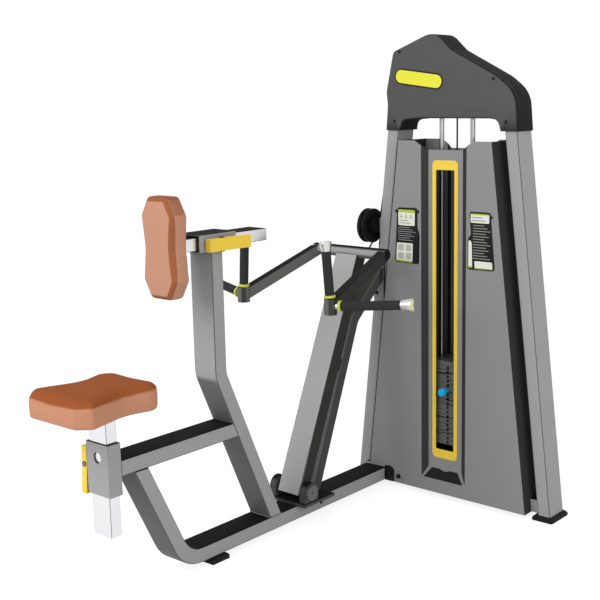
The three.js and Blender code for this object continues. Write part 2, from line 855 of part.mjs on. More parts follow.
function seatTube() {
  const tube = straightTube('z', centred(seatTubeDepth), centred(seatTubeWidth), seatTubeBottomZ,
    seatTubeTopZ, tubeWall, sleeveWall);
  const holes = [];
  for (let i = 0; i < tubeMarkCount; i += 1) {
    const z = seatLatchZ + latchPinArm + (i - (tubeMarkCount - 1) / 2) * tubeMarkPitch;
    holes.push(bar('y', [0, z], pinHoleRadius, 0, seatTubeWidth, tinySides));
  }
  return cut(tube, ...holes);
}

place('seat_tube', seatTube(), chrome, seatGroup);
place('seat_plate', block(centred(seatPlateLength), centred(seatPlateWidth),
  [seatPlateZ, seatPlateZ + plateThickness]),
  blackPlastic, seatGroup);
const seatPad = place('seat_pad', cushion(seatPadShares, seatPadLength, seatPadWidth, seatPadHeight,
  seatPadCorner, seatPadWaistCorner), brownLeather, seatGroup);
seatPad.position.set(seatPadFrontX - seatX, 0, seatPadZ);

// Chest pad on its sliding tube

const chestGroup = group(0, 0, chestCentreZ);
const chestPlateX = chestTubeFrontX - seatGap;

function chestTube() {
  const tube = straightTube('x', centred(chestTubeWidth), centred(chestTubeHeight), chestTubeFrontX,
    chestTubeBackX,
    tubeWall, sleeveWall);
  const holes = [];
  for (let i = 0; i < tubeMarkCount; i += 1) {
    const x = chestLatchX - latchPinArm + (i - 1) * tubeMarkPitch;
    holes.push(bar('y', [x, -chestLatchDrop], pinHoleRadius, -chestTubeWidth, 0, tinySides));
  }
  return cut(tube, ...holes);
}

place('chest_tube', chestTube(), chrome, chestGroup);
place('chest_plate', block([chestPlateX - plateThickness, chestPlateX], centred(chestPlateWidth),
  centred(chestPlateHeight)),
  blackPlastic, chestGroup).position.z = -chestPadDrop;
const chestPad = place('chest_pad',
  cushion(chestPadShares, chestPadLength, chestPadWidth, chestPadDepth,
  chestPadCorner, chestPadWaistCorner), brownLeather, chestGroup);
chestPad.position.set(chestPlateX - plateThickness - seatGap, 0, -chestPadLength / 2 - chestPadDrop);
chestPad.rotation.y = -Math.PI / 2;

// Lever: the leaning post, its cross tube, two arms and four grips, about the pivot

const leverGroup = group(pivotX, 0, pivotZ);
const bore = boreRadius(shaftRadius, turnGap);

// A place on the leaning post, as [x, z] about the pivot
function onLever(across, along) {
  const cosine = Math.cos(leverLean);
  const sine = Math.sin(leverLean);
  return [across * cosine + along * sine, along * cosine - across * sine];
}

function leverPost() {
  const tube = straightTube('z', centred(leverDepth), centred(leverWidth), -leverBelow, leverLength,
    tubeWall);
  const boss = bar('y', [0, 0], leverBossRadius, ...centred(leverWidth));
  const web = block([leverDepth / 2 - tubeWall, lugAcross],
    [frontPulleyY - lugHalf, frontPulleyY + lugHalf],
    [lugAlong - lugRadius, lugAlong + lugRadius]);
  const eye = bar('y', [lugAcross, lugAlong], lugRadius, frontPulleyY - lugHalf,
    frontPulleyY + lugHalf);
  const saddle = bar('y', [crossTubeAcross, crossTubeAlong], crossTubeRadius + seatGap,
    ...centred(leverWidth + overrun));
  const shaftHole = bar('y', [0, 0], shaftRadius + seatGap, ...centred(leverWidth + overrun));
  return cut(join(tube, boss, web, eye), saddle, shaftHole);
}

const leverMesh = place('lever_post', leverPost(), greyPaint, leverGroup);
leverMesh.rotation.y = leverLean;

const crossTubePlace = onLever(crossTubeAcross, crossTubeAlong);

function crossTube() {
  const inner = crossTubeHalf - crossTubeWall;
  return cut(
    bar('y', crossTubePlace, crossTubeRadius, -crossTubeHalf, crossTubeHalf),
    bar('y', crossTubePlace, crossTubeRadius - crossTubeWall, -inner, inner),
    bar('y', crossTubePlace, ventRadius, -crossTubeHalf - overrun, crossTubeHalf + overrun, tinySides),
  );
}

place('cross_tube', crossTube(), greyPaint, leverGroup);

// A solid made along +z, laid along a direction from a place
function laid(geometry, from, direction) {
  const turn = new THREE.Quaternion().setFromUnitVectors(new THREE.Vector3(0, 0, 1), direction);
  geometry.applyQuaternion(turn);
  geometry.translate(...from.toArray());
  return toSolid(geometry);
}

// The elbow, the two grip directions and their lengths on one side of the lever
function sideOf(side) {
  const mirror = new THREE.Vector3(1, side, 1);
  const elbow = new THREE.Vector3(crossTubePlace[0] - elbowBehind, elbowY,
    crossTubePlace[1] - elbowDrop).multiply(mirror);
  const upright = uprightReach.clone().multiply(mirror);
  const level = levelReach.clone().multiply(mirror);
  return { elbow, upright, level };
}

function leverArm(side) {
  const { elbow, level } = sideOf(side);
  const top = new THREE.Vector3(crossTubePlace[0], side * armTopY, crossTubePlace[1]);
  const along = elbow.clone().sub(top);
  const length = along.length();
  along.normalize();
  const sideways = new THREE.Vector3(0, 0, 1).cross(along).normalize();
  const upward = along.clone().cross(sideways);
  const beam = new THREE.BoxGeometry(armWidth, armHeight, length);
  beam.translate(0, 0, length / 2);
  beam.applyMatrix4(new THREE.Matrix4().makeBasis(sideways, upward, along));
  beam.translate(...top.toArray());
  const elbowPost = bar('z', [elbow.x, elbow.y], elbowRadius, elbow.z - elbowHalf, elbow.z + elbowHalf);
  const neck = new THREE.CylinderGeometry(neckRadius, neckRadius, levelGripStart - seatGap, roundSides);
  neck.rotateX(Math.PI / 2);
  neck.translate(0, 0, (levelGripStart - seatGap) / 2);
  const saddle = bar('y', crossTubePlace, crossTubeRadius + seatGap, ...centred(4 * crossTubeHalf));
  return cut(join(toSolid(beam), elbowPost, laid(neck, elbow, level.clone().normalize())), saddle);
}

// A grip's bar, with its collar ring and its flared cap, from start to end along z
function gripBar(start, end, capLength) {
  const ringEnd = start + gripRingLength;
  const capStart = end - capLength;
  return new THREE.LatheGeometry([
    [0, start], [gripRingRadius, start], [gripRingRadius, ringEnd], [gripRodRadius, ringEnd],
    [gripRodRadius, capStart], [gripFoamRadius, capStart], [gripCapRadius, end - capLength / 4],
    [gripCapRadius, end - capLength / 8], [gripCapRadius - capLength / 8, end], [0, end],
  ].map(([radius, height]) => new THREE.Vector2(radius, height)), gripSides).rotateX(Math.PI / 2);
}

function gripFoam(start, end, capLength) {
  const low = start + gripRingLength + seatGap;
  const high = end - capLength - seatGap;
  const inner = gripRodRadius + seatGap;
  return new THREE.LatheGeometry([
    [inner, low], [gripFoamRadius, low], [gripFoamRadius, high], [inner, high], [inner, low],
  ].map(([radius, height]) => new THREE.Vector2(radius, height)), gripSides).rotateX(Math.PI / 2);
}

for (const [label, side] of [['left', 1], ['right', -1]]) {
  const { elbow, upright, level } = sideOf(side);
  place(`${label}_arm`, leverArm(side), greyPaint, leverGroup);
  const grips = [
    ['upright', upright, elbowHalf + seatGap + gripTilt(upright), uprightCapLength],
    ['level', level, levelGripStart, levelCapLength],
  ];
  for (const [kind, reach, start, capLength] of grips) {
    const direction = reach.clone().normalize();
    const spine = laid(outward(gripBar(start, reach.length(), capLength)), elbow, direction);
    const foam = laid(outward(gripFoam(start, reach.length(), capLength)), elbow, direction);
    place(`${label}_${kind}_grip_bar`, spine, chrome, leverGroup);
    place(`${label}_${kind}_grip_foam`, foam, blackFoam, leverGroup);
  }
}

// How much higher a leaning grip starts, so that its ring clears the elbow's flat top
function gripTilt(direction) {
  const lean = Math.atan2(Math.hypot(direction.x, direction.y), direction.z);
  return elbowHalf * (1 / Math.cos(lean) - 1) + gripRingRadius * Math.tan(lean);
}

function pivotShaft() {
  const end = bearingOuter + seatGap;
  return join(
    bar('y', [0, 0], shaftRadius, -end - endDiscThickness, end + endDiscThickness),
    bar('y', [0, 0], endDiscRadius, end, end + endDiscThickness),
    bar('y', [0, 0], endDiscRadius, -end - endDiscThickness, -end),
  );
}

place('pivot_shaft', pivotShaft(), chrome, leverGroup);

// Pivot bearings, on a plate on the base beam

const pivotPlateTopZ = postFootZ + pivotPlateThickness;
place('pivot_plate', block([pivotPlateFrontX, pivotPlateBackX], [-pivotPlateHalf, pivotPlateHalf],
  [postFootZ, pivotPlateTopZ]), greyPaint);

function bearing(low, high) {
  const foot = pivotPlateTopZ + seatGap - pivotZ;
  return cut(
    join(
      bar('y', [0, 0], bearingRadius, low, high),
      block([-bearingRadius, bearingRadius], [low, high], [foot, 0]),
    ),
    bar('y', [0, 0], bore, low - overrun, high + overrun),
    block([-2 * bearingRadius, 2 * bearingRadius], [low - overrun, high + overrun],
      [-2 * bearingRadius, foot]),
  );
}

place('left_bearing', bearing(bearingInner, bearingOuter), greyPaint).position.set(pivotX, 0, pivotZ);
place('right_bearing', bearing(-bearingOuter, -bearingInner), greyPaint)
  .position.set(pivotX, 0, pivotZ);

// Brace from the pivot plate to the left post, with the rubber stop that the lever rests on

const postFront = towerX - postDepth / 2;
const braceLean = (braceBendX - braceFootX) / (braceBendZ - pivotPlateTopZ);
const braceLow = [braceFootX - braceLean * overrun, pivotPlateTopZ - overrun];
const braceHigh = [postFront, braceTopZ];

function braceStrut() {
  const path = roundCorners([braceLow, [braceBendX, braceBendZ, braceBendRadius], braceHigh], false,
    bendSteps);
  const yRange = centred(braceWidth);
  const tube = bentTube(longer(path, overrun), braceDepth, braceWidth, tubeWall);
  const below = block(everyX, acrossTube, [-pivotZ, pivotPlateTopZ + seatGap]);
  const padFace = postFront - seatGap - bracePadThickness;
  const behind = block([padFace, towerX], acrossTube, [0, overallHeight]);
  const pad = block([padFace - tubeWall / 2, postFront - seatGap],
    [yRange[0] - tubeWall, yRange[0] + 2 * bracePadHalf],
    [bracePadBottomZ, bracePadTopZ]);
  return join(cut(tube, below, behind), pad);
}

place('brace_strut', braceStrut(), greyPaint);

function stopBumper() {
  const [backX, backZ] = onLever(leverDepth / 2 + seatGap, bumperAlong - bumperHalf);
  const [topX, topZ] = onLever(leverDepth / 2 + seatGap, bumperAlong + bumperHalf);
  const braceFace = (z) => braceFootX + braceLean * (z - pivotPlateTopZ)
    - (braceDepth / 2 + seatGap) * Math.hypot(1, braceLean);
  const low = [pivotX + backX, pivotZ + backZ];
  const high = [pivotX + topX, pivotZ + topZ];
  const outline = [low, [braceFace(low[1]), low[1]], [braceFace(high[1]), high[1]], high];
  return prism(outline, 'y', -bumperHalf, bumperHalf);
}

place('stop_bumper', stopBumper(), blackRubber);

// Tower frame

const towerGroup = group(towerX, towerY, 0);
const frontBracketY = frontPulleyY - towerY - frontPulleyWidth / 2;

function towerPost(side) {
  const rings = (inset, low, high) => [low, high].map((z) => rectangle(
    centred(postDepth - 2 * inset),
    [postInner(z) + inset, postOuter(z) - inset],
    tubeCorner - inset,
  ).map(([x, y]) => new THREE.Vector3(x, side * y, z)));
  const outer = loft(rings(0, postBottomZ, postTopZ));
  return cut(outer, loft(rings(tubeWall, postBottomZ - overrun, postTopZ + overrun)));
}

// The plate on the left post's outer side that carries the front pulley, and its axle
function frontPulleyBracket() {
  const zRange = [frontPulleyZ - frontBracketHalf, frontPulleyZ + frontBracketHalf];
  const wallY = postOuter(zRange[0]) - tubeWall / 2;
  const plateOut = frontBracketY - seatGap;
  const cornerRadius = frontBracketHalf / 2;
  const xRange = [frontBracketFrontX - towerX, frontBracketBackX - towerX];
  const plate = prism(rectangle(xRange, zRange, cornerRadius), 'y', plateOut - frontBracketInner,
    plateOut);
  const inside = block([-postDepth / 2 + tubeWall, postDepth / 2 - tubeWall],
    [0, postOuter(zRange[1]) - tubeWall],
    [zRange[0] - overrun, zRange[1] + overrun]);
  const filler = block([-postDepth / 2, xRange[1] - cornerRadius],
    [postOuter(zRange[1]) - tubeWall / 2, plateOut],
    [zRange[0], zRange[1]]);
  const centre = [frontPulleyX - towerX, frontPulleyZ];
  const pulleyOut = frontBracketY + frontPulleyWidth + seatGap;
  const axle = bar('y', centre, frontAxleRadius, plateOut - seatGap, pulleyOut + washerThickness);
  const washer = bar('y', centre, washerRadius, pulleyOut, pulleyOut + washerThickness);
  return cut(join(plate, filler, axle, washer), inside).subtract(block(
    [-postDepth, postDepth], [0, wallY - postWidth], [zRange[0] - overrun, zRange[1] + overrun]));
}

place('left_post', join(towerPost(1), frontPulleyBracket()), greyPaint, towerGroup);
place('right_post', towerPost(-1), greyPaint, towerGroup);

function towerBase() {
  const rings = (inset, extra) => [-1, 1].map((side) => rectangle(
    centred(baseDepth - 2 * inset),
    [baseBottomZ + inset, baseBottomZ + baseHeight - inset],
    tubeCorner - inset,
  ).map(([x, z]) => new THREE.Vector3(x, side * (postInner(z) - seatGap + extra), z)));
  return cut(loft(rings(0, 0)), loft(rings(tubeWall, overrun)));
}

function topBeam() {
  const rings = (inset, extra) => [-1, 1].map((side) => rectangle(
    centred(topBeamDepth - 2 * inset),
    [topBeamBottomZ + inset, topBeamTopZ - inset],
    tubeCorner - inset,
  ).map(([x, z]) => new THREE.Vector3(x, side * (postInner(z) - seatGap + extra), z)));
  const beam = cut(loft(rings(0, 0)), loft(rings(tubeWall, overrun)));
  const carrierTopZ = topBeamTopZ + carrierThickness;
  const carrier = block([-carrierHalf, carrierHalf], [carrierInner, carrierOuter],
    [topBeamTopZ - seatGap, carrierTopZ]);
  const cheekInner = topPulleyWidth / 2 + cheekGap;
  const cheeks = [];
  for (const y of [topWrapRadius, topWrapRadius + topPulleySpan]) {
    for (const low of [cheekInner, -cheekInner - cheekThickness]) {
      const outline = rectangle([y - cheekHalf, y + cheekHalf], [topBeamTopZ, topPulleyZ + cheekHalf],
        cheekThickness);
      cheeks.push(prism(outline, 'x', low, low + cheekThickness));
    }
    const reach = cheekInner + cheekThickness;
    cheeks.push(bar('x', [y, topPulleyZ], topAxleRadius, -reach, reach, smallSides));
  }
  const cableHole = bar('z', [0, 0], cableHoleRadius, topBeamBottomZ - overrun, topBeamTopZ + overrun,
    smallSides);
  return cut(join(beam, carrier, ...cheeks), cableHole);
}

function towerFoot(side) {
  const top = postBottomZ - seatGap;
  const ring = (z, inset) => rectangle(
    centred(padDepth - 2 * inset),
    [padInner + inset, padOuter - inset],
    padBevel,
  ).map(([x, y]) => new THREE.Vector3(x, side * y, z));
  return loft([ring(0, 0), ring(top - padBevel, 0), ring(top, padBevel)]);
}

place('tower_base', towerBase(), greyPaint, towerGroup);
place('tower_top_beam', topBeam(), greyPaint, towerGroup);
place('left_foot', towerFoot(1), blackRubber, towerGroup);
place('right_foot', towerFoot(-1), blackRubber, towerGroup);

// Top cover: a shell with a bevelled front and back edge, over both posts

function coverOutline() {
  const height = overallHeight - coverFootZ;
  const corners = coverShares.map(([across, up]) => [across * coverHalf, coverFootZ + up * height,
    coverCorner]);
  return roundCorners(corners, true);
}

function topCover() {
  const outline = coverOutline();
  const shape = new THREE.Shape(outline.map(([u, v]) => new THREE.Vector2(u, v)));
  const geometry = new THREE.ExtrudeGeometry(shape, {
    depth: coverFront + coverBack - 2 * coverBevelDepth,
    bevelThickness: coverBevelDepth,
    bevelSize: coverBevel,
    bevelOffset: -coverBevel,
    bevelSegments: 1,
  });
  geometry.translate(0, 0, coverBevelDepth - coverFront);
  turnTo(geometry, 'x');
  const inner = prism(offset(outline, -coverWall), 'x', coverBevelDepth - coverFront,
    coverBack - coverBevelDepth);
  const legs = block([-2 * coverFront, 2 * coverBack], centred(4 * coverHalf),
    [coverFootZ - 2 * coverHalf, coverFootZ]);
  const slotMiddle = frontPulleyX + frontWrapRadius - towerX + coverSlotHalf;
  const slotY = towerY + coverHalf - coverSlotInset;
  const slotZ = frontPulleyZ + ((topPulleyZ - frontPulleyZ) * (frontPulleyY - slotY))
    / (frontPulleyY - towerY - cableTopHalf);
  const slot = block([slotMiddle - coverSlotHalf, slotMiddle + coverSlotHalf],
    [postOuter(postTopZ), 2 * coverHalf],
    [slotZ - coverSlotHeight / 2, slotZ + coverSlotHeight / 2]);
  const hole = (y, radius) => bar('z', [0, y], radius, coverFootZ, topBeamBottomZ, smallSides);
  const holes = [hole(0, cableHoleRadius), hole(rodSpacing, rodHoleRadius),
    hole(-rodSpacing, rodHoleRadius)];
  return cut(toSolid(geometry), inner, legs, slot, ...holes);
}

place('top_cover', topCover(), coverPlastic, towerGroup);

// Shrouds: bent sheets in front of and behind the stack, each with a shallow channel

const shroudHalf = (z) => shroudFootHalf
  - ((shroudFootHalf - shroudTopHalf) * (z - shroudBottomZ)) / (shroudTopZ - shroudBottomZ);

// The solid inside the shroud's skin, smaller by an inset and longer by an extra at open edges
function shroudCore(inset, extra) {
  const low = shroudBottomZ - extra;
  const high = shroudTopZ + extra;
  const outline = [
    [-shroudHalf(low) + inset, low], [shroudHalf(low) - inset, low],
    [shroudHalf(high) - inset, high], [-shroudHalf(high) + inset, high],
  ];
  const core = prism(outline, 'x', inset - shroudFront, extra - shroudMeetGap / 2);
  const plan = [
    [-shroudFront - overrun, channelHalf], [-shroudFront, channelHalf],
    [channelDepth - shroudFront, channelFloorHalf], [channelDepth - shroudFront, -channelFloorHalf],
    [-shroudFront, -channelHalf], [-shroudFront - overrun, -channelHalf],
  ];
  const side = [
    [-shroudFront - overrun, channelEndZ], [-shroudFront, channelEndZ],
    [channelDepth - shroudFront, channelEndZ + channelEndRise],
    [shroudFront, channelEndZ + channelEndRise],
    [shroudFront, shroudTopZ + 2 * overrun], [-shroudFront - overrun, shroudTopZ + 2 * overrun],
  ];
  const channel = prism(offset(plan, inset), 'z', shroudBottomZ, shroudTopZ + 2 * overrun)
    .intersect(prism(offset(side, inset), 'y', ...centred(4 * channelHalf)));
  return cut(core, channel);
}

function shroudSkin() {
  const skin = cut(shroudCore(0, 0), shroudCore(sheet, overrun));
  const notchFloorZ = shroudTopZ - notchDepth;
  const notch = prism([
    [-channelFloorHalf, notchFloorZ], [channelFloorHalf, notchFloorZ], [notchHalf, shroudTopZ],
    [notchHalf, shroudTopZ + overrun], [-notchHalf, shroudTopZ + overrun], [-notchHalf, shroudTopZ],
  ], 'x', -shroudFront - overrun, -baseFront);
  const baseNotch = block([-baseFront - seatGap, shroudFront], centred(4 * shroudFootHalf),
    [0, baseBottomZ + baseHeight + seatGap]);
  return cut(skin, notch, baseNotch);
}

const windowHalf = trimHalf - trimSide + windowEdge;

function frontShroud() {
  const beamInner = -tubeWidth / 2 - towerY - beamNotchGap;
  const beamNotch = block([-2 * shroudFront, shroudFront], [beamInner, 2 * shroudFootHalf],
    [0, beamTopZ + beamNotchGap]);
  const opening = block([-2 * shroudFront, -baseFront], [-windowHalf, windowHalf],
    [trimBottomZ + trimEnd - windowEdge, trimTopZ - trimEnd + windowEdge]);
  return cut(shroudSkin(), beamNotch, opening);
}

place('front_shroud', frontShroud(), greyPaint, towerGroup);
const rearShroud = place('rear_shroud', shroudSkin(), greyPaint, towerGroup);
rearShroud.rotation.z = Math.PI;

function windowTrim() {
  const floor = channelDepth - shroudFront - seatGap;
  const outer = rectangle([-trimHalf, trimHalf], [trimBottomZ, trimTopZ], trimCorner);
  const innerHalf = trimHalf - trimSide;
  const inner = rectangle([-innerHalf, innerHalf], [trimBottomZ + trimEnd, trimTopZ - trimEnd],
    trimCorner / 2);
  return cut(
    prism(outer, 'x', floor - trimThickness, floor),
    prism(inner, 'x', floor - trimThickness - overrun, floor + overrun),
  );
}

place('window_trim', windowTrim(), yellowPlastic, towerGroup);

// Weight stack on its two guide rods

const rodBottomZ = baseBottomZ + baseHeight + seatGap;
for (const [label, side] of [['left', 1], ['right', -1]]) {
  const guideRod = bar('z', [0, 0], rodRadius, rodBottomZ, topBeamBottomZ - seatGap, smallSides);
  place(`${label}_guide_rod`, guideRod, chrome, towerGroup).position.y = side * rodSpacing;
}

function stackRest() {
  const top = stackBottomZ - seatGap;
  const sides = [-rodSpacing, rodSpacing];
  const sleeves = sides.map((y) => bar('z', [0, y], restSleeveRadius, rodBottomZ,
    top - restPlateThickness / 2, smallSides));
  const plate = block(centred(stackDepth / 2), centred(2 * stackHalf), [top - restPlateThickness, top]);
  const bores = sides.map((y) => bar('z', [0, y], boreRadius(rodRadius, seatGap, smallSides),
    rodBottomZ - overrun, stackBottomZ, smallSides));
  const stemHole = bar('z', [0, 0], stemBoreRadius, rodBottomZ, stackBottomZ, smallSides);
  return cut(join(plate, ...sleeves), ...bores, stemHole);
}

place('stack_rest', stackRest(), blackRubber, towerGroup);

// Plates from one place in the stack to another, with a groove at each joint in front and behind
function plateBlock(first, last) {
  const low = stackBottomZ + first * platePitch;
  const high = stackBottomZ + last * platePitch - seatGap;
  const front = stackDepth / 2;
  const side = [];
  for (let i = first; i < last; i += 1) {
    const bottom = i === first ? low : stackBottomZ + i * platePitch;
    const top = i === last - 1 ? high : stackBottomZ + (i + 1) * platePitch;
    side.push([front - plateGroove, bottom], [front, bottom + plateGroove], [front, top - plateGroove]);
  }
  side.push([front - plateGroove, high]);
  const outline = [...side, ...side.map(([x, z]) => [-x, z]).reverse()];
  const body = prism(outline, 'y', -stackHalf, stackHalf);
  const bores = [-rodSpacing, rodSpacing]
    .map((y) => bar('z', [0, y], rodBoreRadius, low - overrun, high + overrun, smallSides));
  return cut(body, ...bores);
}

function plateHoles(first, last, back = 0) {
  const holes = [];
  for (let i = first; i < last; i += 1) {
    const z = stackBottomZ + (i + 1 / 2) * platePitch;
    holes.push(bar('x', [0, z], selectorBoreRadius, -stackDepth, back, tinySides));
  }
  return holes;
}

const stemBore = bar('z', [0, 0], stemBoreRadius, stackBottomZ - overrun, overallHeight, smallSides);
const headIndex = plateCount - 1;
const liftedIndex = headIndex - liftedCount;
place('resting_plates', cut(plateBlock(0, liftedIndex), stemBore, ...plateHoles(0, liftedIndex)),
  plateSteel, towerGroup);
place('lifted_plates',
  cut(plateBlock(liftedIndex, headIndex), stemBore, ...plateHoles(liftedIndex, headIndex)),
  plateSteel, towerGroup);

const pinZ = stackBottomZ + (liftedIndex + 1 / 2) * platePitch;
const headTopZ = stackBottomZ + plateCount * platePitch - seatGap;

function headPlate() {
  const stem = bar('z', [0, 0], stemRadius, stackBottomZ + seatGap, headTopZ - platePitch / 2,
    smallSides);
  const fitting = bar('z', [0, 0], fittingRadius, headTopZ - platePitch / 2, headTopZ + fittingLength,
    smallSides);
  return cut(join(plateBlock(headIndex, plateCount), stem, fitting),
    ...plateHoles(0, headIndex, stemRadius + overrun));
}

function selectorPin() {
  const plateFront = -stackDepth / 2;
  const knobBack = plateFront - knobStandOff;
  return turned([
    [0, plateFront + selectorDepth], [selectorRadius, plateFront + selectorDepth],
      [selectorRadius, knobBack],
    [knobRadius * 0.7, knobBack], [knobRadius, knobBack - knobLength * 0.3],
      [knobRadius, knobBack - knobLength * 0.8],
    [knobRadius * 0.8, knobBack - knobLength], [0, knobBack - knobLength],
  ], 'x', smallSides);
}

place('head_plate', headPlate(), plateSteel, towerGroup);
place('selector_pin', selectorPin(), bluePlastic, towerGroup).position.z = pinZ;

// Pulleys: a grooved wheel with a dished face and a hub, about its own middle

function pulley(axis, wrapRadius, flangeRadius, width, axleRadius, sides) {
  const half = width / 2;
  const groove = wrapRadius - cableRadius - cableGap;
  const web = half - pulleyDish;
  const rim = groove - rimLip;
  const boreSize = boreRadius(axleRadius, turnGap, sides);
  return turned([
    [boreSize, -half], [hubRadius, -half], [hubRadius, -web], [rim, -web], [rim, -half],
    [flangeRadius, -half], [flangeRadius, rimLip - half], [groove, -cableRadius], [groove, cableRadius],
    [flangeRadius, half - rimLip], [flangeRadius, half], [rim, half], [rim, web], [hubRadius, web],
    [hubRadius, half], [boreSize, half], [boreSize, -half],
  ], axis, sides);
}

const frontPulley = place('front_pulley',
  pulley('y', frontWrapRadius, frontFlangeRadius, frontPulleyWidth, frontAxleRadius,
  roundSides), blackPlastic);
frontPulley.position.set(frontPulleyX, frontPulleyY, frontPulleyZ);
for (const [label, y] of [['centre', topWrapRadius], ['left', topWrapRadius + topPulleySpan]]) {
  const wheel = pulley('x', topWrapRadius, topFlangeRadius, topPulleyWidth, topAxleRadius,
    smallSides + tinySides / 2);
  place(`${label}_top_pulley`, wheel, blackPlastic, towerGroup).position.set(0, y, topPulleyZ);
}

// Cable: from the lever's lug round the front pulley, up and over both top pulleys, to the stack

function cableAlong(points, steps) {
  const section = new THREE.Shape();
  section.absarc(0, 0, cableRadius, 0, 2 * Math.PI);
  const curve = new THREE.CatmullRomCurve3(points, false, 'centripetal');
  return toSolid(new THREE.ExtrudeGeometry(section,
    { steps, extrudePath: curve, bevelEnabled: false, curveSegments: cableSides }));
}

// Points along a straight run, with extra ones close to its ends
function straight(from, to) {
  return [0.02, 0.1, 0.5, 0.9, 0.98].map((share) => from.clone().lerp(to, share));
}

const [lugX, lugZ] = onLever(lugAcross, lugAlong);
const lug = new THREE.Vector3(pivotX + lugX, frontPulleyY, pivotZ + lugZ);
const frontCentre = new THREE.Vector3(frontPulleyX, frontPulleyY, frontPulleyZ);
const toLug = lug.clone().sub(frontCentre);
const lowerAngle = Math.atan2(toLug.z, toLug.x) + Math.acos(frontWrapRadius / toLug.length());
const frontArc = (angle) => new THREE.Vector3(
  frontPulleyX + frontWrapRadius * Math.cos(angle),
  frontPulleyY,
  frontPulleyZ + frontWrapRadius * Math.sin(angle),
);
const leftWheel = new THREE.Vector3(towerX, towerY + topWrapRadius + topPulleySpan, topPulleyZ);
const centreWheel = new THREE.Vector3(towerX, towerY + topWrapRadius, topPulleyZ);
const wheelArc = (centre, angle) => new THREE.Vector3(
  centre.x,
  centre.y + topWrapRadius * Math.cos(angle),
  centre.z + topWrapRadius * Math.sin(angle),
);
const riseX = towerX - frontPulleyX - frontWrapRadius;
const upperAngle = -Math.atan2(riseX, topPulleyZ - frontPulleyZ);
const riseY = frontPulleyY - leftWheel.y - topWrapRadius;
const leaveAngle = Math.atan2(riseY, topPulleyZ - frontPulleyZ);

function leverRun() {
  const touch = frontArc(lowerAngle);
  const along = touch.clone().sub(lug).normalize();
  const start = lug.clone().addScaledVector(along, lugRadius + seatGap);
  const end = touch.clone().addScaledVector(along, -seatGap);
  return cableAlong([start, ...straight(start, end), end], leverRunSteps);
}

function mainRun() {
  const points = [];
  for (let i = 0; i <= arcSteps; i += 1) {
    points.push(frontArc(lowerAngle + ((upperAngle - lowerAngle) * i) / arcSteps));
  }
  const reach = wheelArc(leftWheel, leaveAngle);
  points.push(...straight(points.at(-1), reach));
  for (let i = 0; i <= arcSteps; i += 1) {
    points.push(wheelArc(leftWheel, leaveAngle + ((Math.PI / 2 - leaveAngle) * i) / arcSteps));
  }
  points.push(...straight(points.at(-1), wheelArc(centreWheel, Math.PI / 2)));
  for (let i = 0; i <= arcSteps; i += 1) {
    points.push(wheelArc(centreWheel, Math.PI / 2 + (Math.PI / 2) * (i / arcSteps)));
  }
  return cableAlong(points, mainRunSteps);
}

function stackRun() {
  return bar('z', [0, 0], cableRadius, headTopZ + fittingLength + seatGap, topPulleyZ - cableGap,
    tinySides);
}

place('cable_lever_run', leverRun(), cableCoat);
place('cable_main_run', mainRun(), cableCoat);
place('cable_stack_run', stackRun(), cableCoat, towerGroup);

export default machine;
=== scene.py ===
import json
import math

import bmesh
import bpy
from mathutils import Matrix, Vector

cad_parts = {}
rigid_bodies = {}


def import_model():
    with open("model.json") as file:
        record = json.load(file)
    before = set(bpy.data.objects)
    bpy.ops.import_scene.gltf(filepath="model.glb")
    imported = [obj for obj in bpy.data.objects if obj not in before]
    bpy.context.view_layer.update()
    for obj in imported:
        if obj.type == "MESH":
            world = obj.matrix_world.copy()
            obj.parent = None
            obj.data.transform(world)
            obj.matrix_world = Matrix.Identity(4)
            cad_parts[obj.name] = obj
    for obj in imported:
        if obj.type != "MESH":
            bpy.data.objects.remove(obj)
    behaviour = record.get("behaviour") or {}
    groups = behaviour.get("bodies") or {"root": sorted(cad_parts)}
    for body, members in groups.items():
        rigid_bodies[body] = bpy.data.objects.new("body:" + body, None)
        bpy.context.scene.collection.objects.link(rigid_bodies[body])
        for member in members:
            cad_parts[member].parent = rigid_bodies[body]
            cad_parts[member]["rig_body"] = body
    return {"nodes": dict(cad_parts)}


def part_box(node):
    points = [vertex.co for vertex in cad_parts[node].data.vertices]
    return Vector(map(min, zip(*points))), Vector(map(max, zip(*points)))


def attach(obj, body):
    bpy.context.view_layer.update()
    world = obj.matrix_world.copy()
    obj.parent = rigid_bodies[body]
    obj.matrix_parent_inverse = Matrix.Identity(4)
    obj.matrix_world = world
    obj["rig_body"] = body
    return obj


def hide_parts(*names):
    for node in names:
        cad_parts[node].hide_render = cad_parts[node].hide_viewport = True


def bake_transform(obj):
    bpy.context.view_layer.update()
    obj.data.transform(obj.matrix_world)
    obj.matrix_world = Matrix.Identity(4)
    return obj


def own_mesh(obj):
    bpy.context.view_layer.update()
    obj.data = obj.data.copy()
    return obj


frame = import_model()
scene = bpy.context.scene
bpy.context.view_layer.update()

MM = 0.001
IMAGE_SIDE = 600
SENSOR = 36.0

# Camera, solved from the photograph
FOCAL_PIXELS = 1084.98
CENTRE_COLUMN = 360
CAMERA_PLACE = Vector((-2.0259, -2.2163, 1.3078))
CAMERA_YAW = math.radians(38.9423)
CAMERA_PITCH = math.radians(10.5603)
CAMERA_ROLL = math.radians(0.7148)

# Mesh finishing
WELD = 0.01 * MM
FLAT_ANGLE = math.radians(0.6)
SHARP_ANGLE = math.radians(26)
TUBE_EDGE = 1.2 * MM
FINE_EDGE = 0.35 * MM
ROUND_SIDES = 64
CABLE_SIDES = 12
BOLT_SIDES = 36


def at(*place):
    """A point given in mm"""
    return Vector(place) * MM


